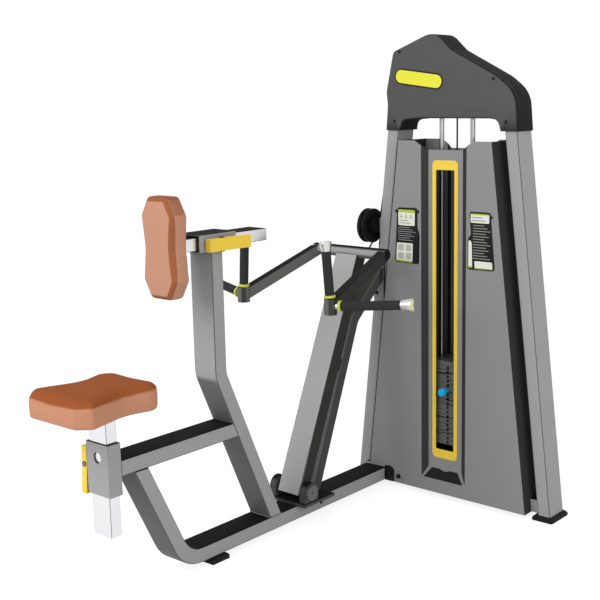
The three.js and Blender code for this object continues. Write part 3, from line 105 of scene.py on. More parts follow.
# Directions and places shared by several pieces
AXIS_X = Vector((1, 0, 0))
AXIS_Y = Vector((0, 1, 0))
AXIS_Z = Vector((0, 0, 1))
FRONT = -AXIS_X
TOWER_X = 864 * MM
TOWER_Y = -284 * MM
FRONT_PULLEY = at(802, 20, 889)
TOP_PULLEYS = {"centre": at(864, -244, 1345), "left": at(864, -96, 1345)}
CABLE_RADIUS = 2.75 * MM
FRONT_WRAP = 48 * MM
TOP_WRAP = 40 * MM
SHROUD_FACE = 787 * MM


def make_camera():
    forward = Vector((
        math.cos(CAMERA_YAW) * math.cos(CAMERA_PITCH),
        math.sin(CAMERA_YAW) * math.cos(CAMERA_PITCH),
        -math.sin(CAMERA_PITCH),
    ))
    level = Vector((math.sin(CAMERA_YAW), -math.cos(CAMERA_YAW), 0))
    down = forward.cross(level)
    right = level * math.cos(CAMERA_ROLL) + down * math.sin(CAMERA_ROLL)
    up = level * math.sin(CAMERA_ROLL) - down * math.cos(CAMERA_ROLL)
    turn = Matrix((right, up, -forward)).transposed().to_4x4()
    data = bpy.data.cameras.new("camera")
    data.sensor_width = SENSOR
    data.lens = SENSOR * FOCAL_PIXELS / IMAGE_SIDE
    data.shift_x = 0.5 - CENTRE_COLUMN / IMAGE_SIDE
    data.clip_end = 100
    camera = bpy.data.objects.new("camera", data)
    camera.matrix_world = Matrix.Translation(CAMERA_PLACE) @ turn
    scene.collection.objects.link(camera)
    scene.camera = camera


make_camera()
scene.view_settings.view_transform = "Standard"


# Materials


def shaded(tone, share):
    """A tone as written on screen, 0 to 255, as a shader colour times a share"""
    values = []
    for part in tone:
        c = part / 255
        level = c / 12.92 if c <= 0.04045 else ((c + 0.055) / 1.055) ** 2.4
        values.append(min(level * share, 1))
    return (*values, 1)


MATT = 0.85  # roughness where a mask is dark
NOISE_RANGE = (0.3, 0.7)  # where nearly all of a noise lies
DRIFT = (9, 2)  # scale and detail of the slow change between two tones
PLAIN_SPECULAR = 0.5
CLOSE = 0.01 * MM  # the radius of a turned piece on its axis

# Where the dark tone of painted shade starts and is full, by the normal's Z up and down, by X times Y at
# corners, and by Y sideways
TOP_SHADE_RANGE = (0.55, 0.8)
UNDERSIDE_SHADE_RANGE = (-0.2, -0.34)
UNDERSIDE_SHADE_SHARE = 0.62
CORNER_SHADE_RANGE = (0.22, 0.42)
CORNER_SHADE_SHARE = 0.75
SIDE_SHADE_RANGE = (0.8, 0.95)


def set_inputs(node, **values):
    """Sets a node's inputs by name, with _ for each space"""
    for name, value in values.items():
        node.inputs[name.replace("_", " ")].default_value = value


def new_node(tree, kind, **values):
    node = tree.nodes.new("ShaderNode" + kind)
    set_inputs(node, **values)
    return node


class Surface:
    """A material and its node tree, with object coordinates in metres at hand"""

    def __init__(self, name):
        self.material = bpy.data.materials.new(name)
        self.material.use_nodes = True
        self.tree = self.material.node_tree
        self.shader = self.tree.nodes["Principled BSDF"]
        coordinates = self.add("TexCoord")
        self.where = coordinates.outputs["Object"]
        self.normal = coordinates.outputs["Normal"]

    def add(self, kind, **values):
        return new_node(self.tree, kind, **values)

    def link(self, source, target):
        self.tree.links.new(source, target)

    def noise(self, scale, detail=3.0, roughness=0.5):
        node = self.add("TexNoise", Scale=scale, Detail=detail, Roughness=roughness)
        self.link(self.where, node.inputs["Vector"])
        return node.outputs["Fac"]

    def cells(self, scale, feature="F1"):
        node = self.add("TexVoronoi", Scale=scale)
        node.feature = feature
        self.link(self.where, node.inputs["Vector"])
        return node.outputs["Distance"]

    def ranged(self, value, low, high, out_low, out_high):
        node = self.add("MapRange", From_Min=low, From_Max=high, To_Min=out_low, To_Max=out_high)
        self.link(value, node.inputs["Value"])
        return node.outputs["Result"]

    def mixed(self, factor, first, second):
        """Two colours, each a plain colour or a socket"""
        node = self.add("Mix")
        node.data_type = "RGBA"
        colours = [i for i in node.inputs if i.type == "RGBA"]
        for socket, value in zip(colours, (first, second)):
            if isinstance(value, tuple):
                socket.default_value = value
            else:
                self.link(value, socket)
        self.link(factor, node.inputs[0])
        return next(o for o in node.outputs if o.type == "RGBA")

    def tones(self, factor, first, second):
        self.link(self.mixed(factor, first, second), self.shader.inputs["Base Color"])

    def rough(self, value, low, high):
        self.link(self.ranged(value, *NOISE_RANGE, low, high), self.shader.inputs["Roughness"])

    def maths(self, operation, first, second=None):
        node = self.add("Math")
        node.operation = operation
        self.link(first, node.inputs[0])
        if second is not None:
            self.link(second, node.inputs[1])
        return node.outputs[0]

    def split(self, vector):
        node = self.add("SeparateXYZ")
        self.link(vector, node.inputs[0])
        return node.outputs

    def darkest(self, shares):
        total = shares[0]
        for share in shares[1:]:
            total = self.maths("MAXIMUM", total, share)
        return total

    def shades(self, mask, colour, dark):
        """Two close tones of a colour, and of a dark colour where the mask says so: painted shade, and also a
        dark bracket where paint asks for one
        """
        drift = self.noise(*DRIFT)
        light_tone = self.mixed(drift, shaded(colour, 0.97), shaded(colour, 1.03))
        dark_tone = self.mixed(drift, shaded(dark, 0.92), shaded(dark, 1.08))
        self.tones(mask, light_tone, dark_tone)

    def rough_where(self, mask, value, low, high):
        """Uneven roughness that rises to matt where the mask says so"""
        even = self.ranged(value, *NOISE_RANGE, low, high)
        most = self.maths("MAXIMUM", even, self.ranged(mask, 0, 1, 0, MATT))
        self.link(most, self.shader.inputs["Roughness"])

    def bump(self, height, strength, distance):
        node = self.add("Bump", Strength=strength, Distance=distance)
        self.link(height, node.inputs["Height"])
        self.link(node.outputs["Normal"], self.shader.inputs["Normal"])

    def set(self, **values):
        set_inputs(self.shader, **values)


def finish_of(name, colour, spread, grain, roughness, metallic=0, bump=None, specular=PLAIN_SPECULAR):
    """A coat, moulding or metal: two close tones, uneven roughness, and a fine skin by bump's
    strength and its depth in mm"""
    surface = Surface(name)
    drift = surface.noise(*DRIFT)
    surface.tones(drift, shaded(colour, 1 - spread), shaded(colour, 1 + spread))
    skin = surface.noise(grain, 4)
    surface.rough(skin, *roughness)
    surface.set(Metallic=metallic, Specular_IOR_Level=specular)
    if bump:
        surface.bump(skin, bump[0], bump[1] * MM)
    return surface.material


def paint(name, colour, dark, side_shade_share=0, sideways=SIDE_SHADE_RANGE, bracket=None):
    """Gloss paint with painted shade: dark on faces that turn up, down, across corners and sideways. It is
    also dark on a bracket beyond a Y and between two heights"""
    surface = Surface(name)
    x, y, z = surface.split(surface.normal)
    corner = surface.maths("ABSOLUTE", surface.maths("MULTIPLY", x, y))
    shares = [
        surface.ranged(z, *TOP_SHADE_RANGE, 0, 1),
        surface.ranged(z, *UNDERSIDE_SHADE_RANGE, 0, UNDERSIDE_SHADE_SHARE),
        surface.ranged(corner, *CORNER_SHADE_RANGE, 0, CORNER_SHADE_SHARE),
        surface.ranged(surface.maths("ABSOLUTE", y), *sideways, 0, side_shade_share),
    ]
    if bracket:
        out, low, high = bracket
        place = surface.split(surface.where)
        beyond = surface.ranged(place[1], out, out + MM, 0, 1)
        above = surface.ranged(place[2], low, low + MM, 0, 1)
        below = surface.ranged(place[2], high + MM, high, 0, 1)
        shares.append(surface.maths("MULTIPLY", beyond, surface.maths("MULTIPLY", above, below)))
    # the mask is painted shade, together with the bracket's black where one is given
    mask = surface.darkest(shares)
    surface.shades(mask, colour, dark)
    skin = surface.noise(900, 4)
    surface.rough_where(mask, skin, 0.34, 0.42)
    surface.set(Specular_IOR_Level=0.1)
    surface.bump(skin, 0.05, 0.05 * MM)
    return surface.material


def cover_finish(name, colour, dark):
    """Moulded plastic, with painted shade that makes its rim darker than its front and back"""
    surface = Surface(name)
    x = surface.split(surface.normal)[0]
    rim = surface.ranged(surface.maths("ABSOLUTE", x), 0.9, 0.6, 0, 1)
    surface.shades(rim, colour, dark)
    skin = surface.noise(1400, 4)
    surface.rough_where(rim, skin, 0.45, 0.55)
    surface.set(Specular_IOR_Level=0.12)
    surface.bump(skin, 0.2, 0.1 * MM)
    return surface.material


def tube_steel(name, colour, dark):
    """Bright plated tube, with a painted dark reflection on the face that turns up and painted shade on
    corner lines
    """
    surface = Surface(name)
    x, y, z = surface.split(surface.normal)
    corner = surface.maths("ABSOLUTE", surface.maths("MULTIPLY", x, y))
    top = surface.ranged(z, 0.5, 0.8, 0, 1)
    mask = surface.darkest([top, surface.ranged(corner, 0.15, 0.4, 0, 0.8)])
    surface.shades(mask, colour, dark)
    skin = surface.noise(500, 4)
    surface.rough_where(mask, skin, 0.2, 0.28)
    surface.set(Metallic=1.0)
    return surface.material


def leather(name, colour, dark, chamfer):
    """Grained leather, with painted shade in a darker brown on faces that turn up, and on a chamfer that
    faces half along X
    """
    surface = Surface(name)
    x, _, z = surface.split(surface.normal)
    shares = [surface.ranged(z, 0.25, 0.6, 0, 1)]
    if chamfer:
        size = surface.maths("ABSOLUTE", x)
        inner = surface.ranged(size, 0.3, 0.5, 0, 1)
        outer = surface.ranged(size, 0.95, 0.85, 0, 1)
        shares.append(surface.maths("MULTIPLY", inner, outer))
    mask = surface.darkest(shares)
    surface.shades(mask, colour, dark)
    pebbles = surface.cells(620, "SMOOTH_F1")
    surface.rough_where(mask, surface.noise(160, 3), 0.42, 0.54)
    surface.bump(pebbles, 0.28, 0.35 * MM)
    surface.set(Specular_IOR_Level=0.1)
    return surface.material


def foam(name, colour):
    surface = Surface(name)
    pores = surface.cells(1500)
    surface.tones(surface.noise(900, 3), shaded(colour, 0.8), shaded(colour, 1.25))
    surface.rough(pores, 0.75, 0.9)
    surface.set(Specular_IOR_Level=0.15)
    surface.bump(pores, 0.45, 0.3 * MM)
    return surface.material


# The first dark tone is painted shade on tops, undersides and corner lines, and the black of the left post's
# bracket; the second is painted shade on sides
SHADE_AND_BRACKET_TONE = (20, 20, 21)
SIDE_SHADE_TONE = (38, 38, 34)
FRAME_GREY = (157, 157, 158)
ARM_GREY = (106, 106, 104)
GREY_PAINT = paint("grey_paint", FRAME_GREY, SHADE_AND_BRACKET_TONE)
# The lever, brace and near arm have painted shade on faces that turn sideways; the near arm's paint is a
# shaded copy of the far arm's
LEVER_PAINT = paint("lever_paint", (168, 168, 169), SIDE_SHADE_TONE, 0.95)
BRACE_PAINT = paint("brace_paint", (150, 150, 151), SIDE_SHADE_TONE, 0.82)
ARM_PAINT = paint("arm_paint", ARM_GREY, SHADE_AND_BRACKET_TONE)
NEAR_ARM_SHADED_PAINT = paint("near_arm_shaded_paint", ARM_GREY, SIDE_SHADE_TONE, 0.85)
DARK_PAINT = paint("dark_paint", (74, 74, 74), SHADE_AND_BRACKET_TONE)
POST_PAINT = paint("post_paint", FRAME_GREY, SHADE_AND_BRACKET_TONE, bracket=(-0.006, 0.82, 0.96))
# The sheet paint has painted shade on faces that turn partly sideways, the walls of the shroud's returns and
# channel
SHEET_PAINT = paint("sheet_paint", (138, 138, 138), (44, 44, 46), 0.95, (0.2, 0.4))
# The cover's second tone is painted shade on its rim
COVER_PLASTIC = cover_finish("cover_plastic", (80, 80, 80), (36, 36, 37))
YELLOW = finish_of("yellow_plastic", (240, 204, 64), 0.03, 700, (0.34, 0.42), 0, (0.08, 0.06), 0.3)
TRIM_YELLOW = finish_of("trim_yellow", (234, 200, 66), 0.04, 700, (0.26, 0.34), 0, (0.08, 0.06), 0.4)
CHROME = finish_of("polished_steel", (232, 232, 234), 0.01, 500, (0.12, 0.2), 1)
BARE_STEEL = finish_of("bright_cap", (205, 205, 203), 0.03, 500, (0.2, 0.28), 1)
# The second tone is the painted dark reflection on the tubes' tops
TUBE_STEEL = tube_steel("tube_steel", (226, 226, 229), (12, 12, 12))
BADGE_YELLOW = finish_of("badge_yellow", (226, 222, 56), 0.03, 700, (0.3, 0.38), 0, (0.05, 0.05), 0.3)
ROD_STEEL = finish_of("rod_steel", (150, 150, 152), 0.03, 500, (0.2, 0.28), 1)
BLACK = finish_of("black_plastic", (16, 16, 16), 0.05, 900, (0.4, 0.5), 0, (0.12, 0.08), 0.2)
RUBBER = finish_of("black_rubber", (26, 26, 26), 0.06, 900, (0.65, 0.8), 0, (0.2, 0.1), 0.15)
IRON = finish_of("plate_iron", (92, 94, 93), 0.08, 500, (0.42, 0.55), 0.2, (0.25, 0.12))
KNOB = finish_of("knob_blue", (8, 168, 226), 0.03, 700, (0.3, 0.38), 0, (0.06, 0.05), 0.3)
CABLE = finish_of("cable_coat", (20, 20, 20), 0.05, 800, (0.3, 0.4), 0, (0.08, 0.05), 0.2)
LIME = finish_of("lime_plastic", (200, 204, 84), 0.03, 700, (0.35, 0.42), 0, (0.06, 0.05), 0.3)
LABEL = finish_of("label_white", (222, 224, 212), 0.02, 400, (0.3, 0.38), specular=0.3)
LABEL_GREEN = finish_of("label_green", (170, 190, 60), 0.03, 400, (0.3, 0.38), specular=0.3)
LABEL_CELL = finish_of("label_cell", (178, 180, 172), 0.04, 400, (0.35, 0.45), specular=0.2)
LABEL_INK = finish_of("label_grey", (140, 142, 136), 0.03, 400, (0.35, 0.45), specular=0.2)
# Each leather's second tone is painted shade: on the pads' tops, and on the chest pad's chamfer
SEAT_LEATHER = leather("seat_leather", (190, 134, 106), (150, 82, 42), False)
CHEST_LEATHER = leather("chest_leather", (188, 138, 113), (150, 92, 60), True)
FOAM = foam("grip_foam", (46, 46, 48))


# Mesh helpers


def object_from(name, points, faces, material):
    """A new mesh object, welded, with flat areas joined and edges sharp where they turn"""
    mesh = bpy.data.meshes.new(name)
    mesh.from_pydata([tuple(p) for p in points], [], [tuple(f) for f in faces])
    shape = bmesh.new()
    shape.from_mesh(mesh)
    bmesh.ops.remove_doubles(shape, verts=shape.verts, dist=WELD)
    bmesh.ops.dissolve_limit(shape, angle_limit=FLAT_ANGLE, verts=shape.verts, edges=shape.edges)
    bmesh.ops.recalc_face_normals(shape, faces=shape.faces)
    for face in shape.faces:
        face.smooth = True
    for edge in shape.edges:
        edge.smooth = len(edge.link_faces) == 2 and edge.calc_face_angle(0) < SHARP_ANGLE
    shape.to_mesh(mesh)
    shape.free()
    mesh.materials.append(material)
    piece = bpy.data.objects.new(name, mesh)
    scene.collection.objects.link(piece)
    return piece


def sliced(piece, point, normal, open_below=False):
    """Edges where a plane meets the piece, which loses what lies behind the plane if asked to"""
    shape = bmesh.new()
    shape.from_mesh(piece.data)
    parts = shape.verts[:] + shape.edges[:] + shape.faces[:]
    bmesh.ops.bisect_plane(shape, geom=parts, plane_co=point, plane_no=normal, clear_inner=open_below)
    shape.to_mesh(piece.data)
    shape.free()
    return piece


def eased(piece, width, segments=2):
    """Small rounded edges"""
    bevel = piece.modifiers.new("edges", "BEVEL")
    bevel.width = width
    bevel.segments = segments
    bevel.limit_method = "ANGLE"
    bevel.angle_limit = SHARP_ANGLE
    bevel.harden_normals = True
    return piece


def shading_group():
    """Geometry nodes that shade every face smooth, so that eased edges run into flat faces"""
    tree = bpy.data.node_groups.new("smooth_faces", "GeometryNodeTree")
    for way in ("INPUT", "OUTPUT"):
        tree.interface.new_socket("Geometry", in_out=way, socket_type="NodeSocketGeometry")
    start = tree.nodes.new("NodeGroupInput")
    smooth = tree.nodes.new("GeometryNodeSetShadeSmooth")
    end = tree.nodes.new("NodeGroupOutput")
    tree.links.new(start.outputs[0], smooth.inputs["Geometry"])
    tree.links.new(smooth.outputs[0], end.inputs[0])
    return tree


SMOOTH_FACES = shading_group()


def dressed(node, material, edge):
    """A CAD node keeps its shape: welded, its flat areas joined, its edges eased, and a finish"""
    piece = frame["nodes"][node]
    weld = piece.modifiers.new("weld", "WELD")
    weld.merge_threshold = WELD
    flat = piece.modifiers.new("flat_areas", "DECIMATE")
    flat.decimate_type = "DISSOLVE"
    flat.angle_limit = FLAT_ANGLE
    shade = piece.modifiers.new("shade", "NODES")
    shade.node_group = SMOOTH_FACES
    eased(piece, edge)
    even = piece.modifiers.new("even_shading", "WEIGHTED_NORMAL")
    even.weight = 100
    even.keep_sharp = True
    piece.data.materials.clear()
    piece.data.materials.append(material)


def ring_faces(rows, count, wrapped=False):
    """Quads between rings of count points, and the caps of the first and last ring"""
    quads = []
    for r in range(rows if wrapped else rows - 1):
        after = (r + 1) % rows
        for k in range(count):
            n = (k + 1) % count
            quads.append((r * count + k, r * count + n, after * count + n, after * count + k))
    caps = [tuple(range(count))[::-1], tuple(range((rows - 1) * count, rows * count))]
    return quads, caps


def in_mm(profile):
    return [(radius * MM, height * MM) for radius, height in profile]


def looped(profile):
    """A profile that returns to its start, for a piece with a bore"""
    return profile + profile[:1]


def axes_along(direction):
    """Two directions square to a direction and to each other"""
    along = direction.normalized()
    helper = AXIS_Z if abs(along.z) < 0.9 else AXIS_X
    first = helper.cross(along).normalized()
    return first, along.cross(first)


def lathe(name, profile, origin, direction, material, sides=ROUND_SIDES, edge=0.0):
    """A turned piece from [radius, height] points, closed where it ends on the axis"""
    first, second = axes_along(direction)
    along = direction.normalized()
    points = []
    for radius, height in profile:
        for k in range(sides):
            angle = 2 * math.pi * k / sides
            around = first * math.cos(angle) + second * math.sin(angle)
            points.append(origin + along * height + around * radius)
    quads, caps = ring_faces(len(profile), sides)
    faces = quads if profile[0] == profile[-1] else quads + caps
    piece = object_from(name, points, faces, material)
    if edge:
        eased(piece, edge)
    return piece


def sweep(name, route, radius, material, sides=CABLE_SIDES, closed=False):
    """A round cord along a route of points, with rings that don't twist"""
    points = []
    count = len(route)
    first = None
    for i, here in enumerate(route):
        before = route[i - 1] if i or closed else here
        after = route[(i + 1) % count] if i < count - 1 or closed else here
        along = (after - before).normalized()
        if first is None:
            first = axes_along(along)[0]
        first = (first - along * first.dot(along)).normalized()
        second = along.cross(first)
        for k in range(sides):
            angle = 2 * math.pi * k / sides
            points.append(here + (first * math.cos(angle) + second * math.sin(angle)) * radius)
    quads, caps = ring_faces(count, sides, closed)
    return object_from(name, points, quads if closed else quads + caps, material)


def rounded(corners, steps=6):
    """Each corner (u, v, radius) of a closed outline as an arc"""
    outline = []
    for i, (u, v, radius) in enumerate(corners):
        here = Vector((u, v))
        back = Vector(corners[i - 1][:2]) - here
        ahead = Vector(corners[(i + 1) % len(corners)][:2]) - here
        if not radius:
            outline.append(here)
            continue
        room = min(back.length, ahead.length) / 2
        back.normalize()
        ahead.normalize()
        half = back.angle(ahead) / 2
        if half > math.radians(89.5):
            outline.append(here)
            continue
        reach = min(radius / math.tan(half), room)
        start = here + back * reach
        end = here + ahead * reach
        centre = here + (back + ahead).normalized() * (reach / math.cos(half))
        size = (start - centre).length
        begin = math.atan2(start.y - centre.y, start.x - centre.x)
        turn = math.atan2(end.y - centre.y, end.x - centre.x) - begin
        turn -= 2 * math.pi * round(turn / (2 * math.pi))
        for k in range(steps + 1):
            angle = begin + turn * k / steps
            outline.append(centre + Vector((math.cos(angle), math.sin(angle))) * size)
    return outline


def oblong(u_low, v_low, u_high, v_high, radius, steps):
    """A rectangle's outline with rounded corners"""
    corners = ((u_low, v_low), (u_high, v_low), (u_high, v_high), (u_low, v_high))
    return rounded([(u, v, radius) for u, v in corners], steps)


def inset(outline, distance):
    """A closed outline moved inward by a distance"""
    ahead = outline[1:] + outline[:1]
    area = sum(a.x * b.y - b.x * a.y for a, b in zip(outline, ahead))
    side = -distance if area > 0 else distance
    moved = []
    for i, here in enumerate(outline):
        before = (here - outline[i - 1]).normalized()
        after = (ahead[i] - here).normalized()
        along = (before + after).normalized()
        stretch = side / max(along.dot(after), math.sqrt(0.5))
        moved.append(Vector((here.x + along.y * stretch, here.y - along.x * stretch)))
    return moved


def layered(name, rings, material):
    """A skin over rings of equal point counts, closed at both ends"""
    points = [p for ring in rings for p in ring]
    quads, caps = ring_faces(len(rings), len(rings[0]))
    return object_from(name, points, caps + quads, material)


def face_plate(name, outline, x_back, thickness, material, edge=0.0):
    """A flat plate that faces -X, from an outline of (y, z) points"""
    rings = [[Vector((x, p.x, p.y)) for p in outline] for x in (x_back, x_back - thickness)]
    piece = layered(name, rings, material)
    if edge:
        eased(piece, edge)
    return piece


def kept(piece, body="frame", stands_for=None):
    """Puts a piece on a body, and hides the CAD node it stands for"""
    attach(piece, body)
    if stands_for:
        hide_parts(stands_for)


def bolt(name, centre, direction, radius, height, body="frame"):
    """A button head with a socket in it"""
    crown = [
        (CLOSE, 0), (radius, 0), (radius, height * 0.35), (radius * 0.9, height * 0.75),
        (radius * 0.66, height), (radius * 0.45, height), (radius * 0.4, height * 0.45),
    ]
    kept(lathe(name, crown, centre, Vector(direction), BLACK, BOLT_SIDES), body)


# Painted frame, lever and tower

for material, edge, nodes in (
    (GREY_PAINT, TUBE_EDGE, "base_beam chest_post seat_beam right_post tower_base tower_top_beam"),
    (BRACE_PAINT, TUBE_EDGE, "brace_strut"),
    (POST_PAINT, TUBE_EDGE, "left_post"),
    (LEVER_PAINT, TUBE_EDGE, "lever_post"),
    (ARM_PAINT, TUBE_EDGE, "left_arm"),
    (NEAR_ARM_SHADED_PAINT, TUBE_EDGE, "right_arm"),
    (GREY_PAINT, 0.7 * MM, "seat_sleeve chest_sleeve cross_tube"),
    (DARK_PAINT, 0.7 * MM, "left_bearing right_bearing pivot_plate"),
    (SHEET_PAINT, 0.5 * MM, "front_shroud rear_shroud"),
    (BLACK, FINE_EDGE, "seat_sleeve_liner chest_sleeve_liner seat_plate chest_plate"),
    (RUBBER, 1 * MM, "front_foot left_foot right_foot stop_bumper stack_rest"),
    (YELLOW, 1.4 * MM, "seat_latch chest_latch"),
    (TUBE_STEEL, 0.5 * MM, "seat_tube chest_tube"),
    (ROD_STEEL, FINE_EDGE, "left_guide_rod right_guide_rod"),
    (CHROME, FINE_EDGE, "seat_latch_pin chest_latch_pin"),
    (ARM_PAINT, 0.6 * MM, "pivot_shaft"),
    (IRON, 0.3 * MM, "resting_plates lifted_plates head_plate"),
):
    for node in nodes.split():
        dressed(node, material, edge)


# Grips: a foam sleeve between a pale ring and a flared bright cap

ELBOW = at(357, 179, 705)
GRIP_TIPS = {"upright": at(354.7, 164.6, 898), "level": at(430.1, 432.5, 726.6)}
GRIP_CAPS = {"upright": 30 * MM, "level": 41 * MM}
ELBOW_HALF = 24 * MM
LEVEL_START = 28 * MM
RING_RADIUS = 17 * MM
RING_LENGTH = 8 * MM
ROD_RADIUS = 7 * MM
FOAM_RADIUS = 14 * MM
CAP_RADIUS = 18.5 * MM
NECK_RADIUS = 12 * MM
NECK_LENGTH = 7 * MM
FIT = 0.3 * MM
BORE = ROD_RADIUS + 0.1 * MM
FLARE_START = FOAM_RADIUS + 0.6 * MM


def grip(label, side, kind):
    mirror = Vector((1, side, 1))
    elbow = ELBOW * mirror
    reach = GRIP_TIPS[kind] * mirror - elbow
    lean = math.atan2(math.hypot(reach.x, reach.y), reach.z)
    raised = ELBOW_HALF + FIT + ELBOW_HALF * (1 / math.cos(lean) - 1) + RING_RADIUS * math.tan(lean)
    start = raised if kind == "upright" else LEVEL_START
    end = reach.length
    cap = GRIP_CAPS[kind]
    ring_end = start + RING_LENGTH
    name = f"{label}_{kind}_grip"
    low = ring_end + FIT
    high = end - cap - FIT
    sleeve = lathe(name + "_foam", looped([
        (ROD_RADIUS + FIT, low), (FOAM_RADIUS - 1.5 * MM, low), (FOAM_RADIUS, low + 2 * MM),
        (FOAM_RADIUS, high - 2 * MM), (FOAM_RADIUS - 1.5 * MM, high), (ROD_RADIUS + FIT, high),
    ]), elbow, reach, FOAM)
    kept(sleeve, "lever", stands_for=name + "_foam")
    bar = lathe(name + "_cap", [
        (ROD_RADIUS, start + 1 * MM), (ROD_RADIUS, end - cap), (FOAM_RADIUS, end - cap),
        (FLARE_START, end - cap * 0.93), (CAP_RADIUS - 0.6 * MM, end - cap * 0.34),
        (CAP_RADIUS, end - cap * 0.25), (CAP_RADIUS, end - cap * 0.15),
        (CAP_RADIUS - 1.5 * MM, end - cap * 0.05), (CAP_RADIUS - cap * 0.13, end), (2 * MM, end),
    ], elbow, reach, BARE_STEEL)
    kept(bar, "lever", stands_for=name + "_bar")
    ring = lathe(name + "_ring", looped([
        (BORE, start), (RING_RADIUS - 1 * MM, start), (RING_RADIUS, start + 1.2 * MM),
        (RING_RADIUS, ring_end - 1.2 * MM), (RING_RADIUS - 1 * MM, ring_end), (BORE, ring_end),
    ]), elbow, reach, LIME)
    kept(ring, body="lever")
    if kind == "upright":
        return
    band = end - cap * 0.13
    stripe = lathe(name + "_stripe", looped([
        (CAP_RADIUS - 1 * MM, band - 2.4 * MM), (CAP_RADIUS + 0.25 * MM, band - 2.4 * MM),
        (CAP_RADIUS + 0.25 * MM, band + 1.6 * MM), (CAP_RADIUS - 1 * MM, band + 2.4 * MM),
    ]), elbow, reach, LIME)
    kept(stripe, body="lever")
    neck = lathe(name + "_neck", looped([
        (BORE, start - NECK_LENGTH), (NECK_RADIUS, start - NECK_LENGTH), (NECK_RADIUS, start - FIT),
        (BORE, start - FIT),
    ]), elbow, reach, BARE_STEEL)
    kept(neck, "lever")


for label, side in (("left", 1), ("right", -1)):
    for kind in ("upright", "level"):
        grip(label, side, kind)

# Cross tube's end caps
tube_low, tube_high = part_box("cross_tube")
tube_middle = (tube_low + tube_high) / 2
for label, side in (("left", 1), ("right", -1)):
    end = Vector((tube_middle.x, tube_high.y if side > 0 else tube_low.y, tube_middle.z))
    cap = lathe(f"{label}_cross_tube_cap", in_mm([
        (0.01, -1), (18.6, -1), (18.6, 0.6), (17, 2), (12, 2.4),
    ]), end, Vector((0, side, 0)), BLACK)
    kept(cap, "lever")


# Pads: the outline in waist and corners, swelled by cloth under pressure

SEAT_SHARES = [(0, 0.7), (0.123, 1), (0.504, 0.775), (0.64, 0.775), (0.877, 0.925), (1, 0.635)]
CHEST_SHARES = [(0, 0.57), (0.186, 1), (0.5, 0.9), (0.814, 1), (1, 0.57)]
# Shares of the height: how high a ring lies, and how far it is drawn in
PAD_LEVELS = [
    (0, 0.06), (0.02, 0.03), (0.06, 0.01), (0.14, 0), (0.4, -0.01), (0.7, -0.006), (0.8, 0.004),
    (0.83, 0.025), (0.97, 0.165), (0.99, 0.19), (1, 0.23), (1, 0.4),
]
VOXEL = 4 * MM
SWELL_PRESSURE = 4.0
SWELL_FRAMES = 16
SWELL_CAP = 3 * MM
EVEN_ROUNDS = 12
HELD_BASE = 5 * MM
STRETCH_STIFFNESS = 60
BEND_STIFFNESS = 12


def pad_rings(shares, length, width, height, corner, waist, margin):
    half = []
    for i, (along, across) in enumerate(shares):
        narrow = across < 1 and 0 < i < len(shares) - 1
        half.append((along * length, across * width / 2, waist if narrow else corner))
    mirrored = [(u, -v, r) for u, v, r in reversed(half)]
    outline = inset(rounded(half + mirrored, 9), margin)
    rings = []
    for share, step in PAD_LEVELS:
        ring = inset(outline, step * height)
        rings.append([Vector((p.x, p.y, margin * 0.5 + share * (height - margin))) for p in ring])
    return rings


def applied(piece):
    """Bakes a piece's modifiers into its mesh"""
    evaluated = piece.evaluated_get(bpy.context.evaluated_depsgraph_get())
    mesh = bpy.data.meshes.new_from_object(evaluated)
    piece.modifiers.clear()
    piece.data = mesh


def evened(piece, travels):
    """Each point's travel as the mean of its neighbours' and its own, over and over"""
    edges = [tuple(e.vertices) for e in piece.data.edges]
    counts = [1] * len(travels)
    for a, b in edges:
        counts[a] += 1
        counts[b] += 1
    for _ in range(EVEN_ROUNDS):
        totals = [t.copy() for t in travels]
        for a, b in edges:
            totals[a] += travels[b]
            totals[b] += travels[a]
        travels = [total / count for total, count in zip(totals, counts)]
    return travels


def swelled(piece, floor_axis, floor_level):
    """Cloth under pressure, held at the flat base, with each point's travel capped"""
    remesh = piece.modifiers.new("voxels", "REMESH")
    remesh.mode = "VOXEL"
    remesh.voxel_size = VOXEL
    applied(piece)
    start = [v.co.copy() for v in piece.data.vertices]
    held = piece.vertex_groups.new(name="base")
    base = [v.index for v in piece.data.vertices if (v.co - floor_level).dot(floor_axis) < HELD_BASE]
    held.add(base, 1.0, "REPLACE")
    cloth = piece.modifiers.new("swell", "CLOTH")
    cloth.settings.use_pressure = True
    cloth.settings.uniform_pressure_force = SWELL_PRESSURE
    cloth.settings.effector_weights.gravity = 0
    cloth.settings.vertex_group_mass = "base"
    cloth.settings.tension_stiffness = STRETCH_STIFFNESS
    cloth.settings.compression_stiffness = STRETCH_STIFFNESS
    cloth.settings.bending_stiffness = BEND_STIFFNESS
    cloth.point_cache.frame_end = SWELL_FRAMES
    for number in range(1, SWELL_FRAMES + 1):
        scene.frame_set(number)
    evaluated = piece.evaluated_get(bpy.context.evaluated_depsgraph_get())
    ends = [v.co.copy() for v in evaluated.data.vertices]
    piece.modifiers.clear()
    travels = []
    for first, last in zip(start, ends):
        travel = last - first
        if travel.length > SWELL_CAP:
            travel = travel.normalized() * SWELL_CAP
        travels.append(travel)
    for vertex, first, travel in zip(piece.data.vertices, start, evened(piece, travels)):
        vertex.co = first + travel
    scene.frame_set(1)
    smooth = piece.modifiers.new("relax", "SMOOTH")
    smooth.factor = 0.5
    smooth.iterations = 2
    finer = piece.modifiers.new("finer", "SUBSURF")
    finer.levels = 1
    finer.render_levels = 1
    applied(piece)
    for polygon in piece.data.polygons:
        polygon.use_smooth = True


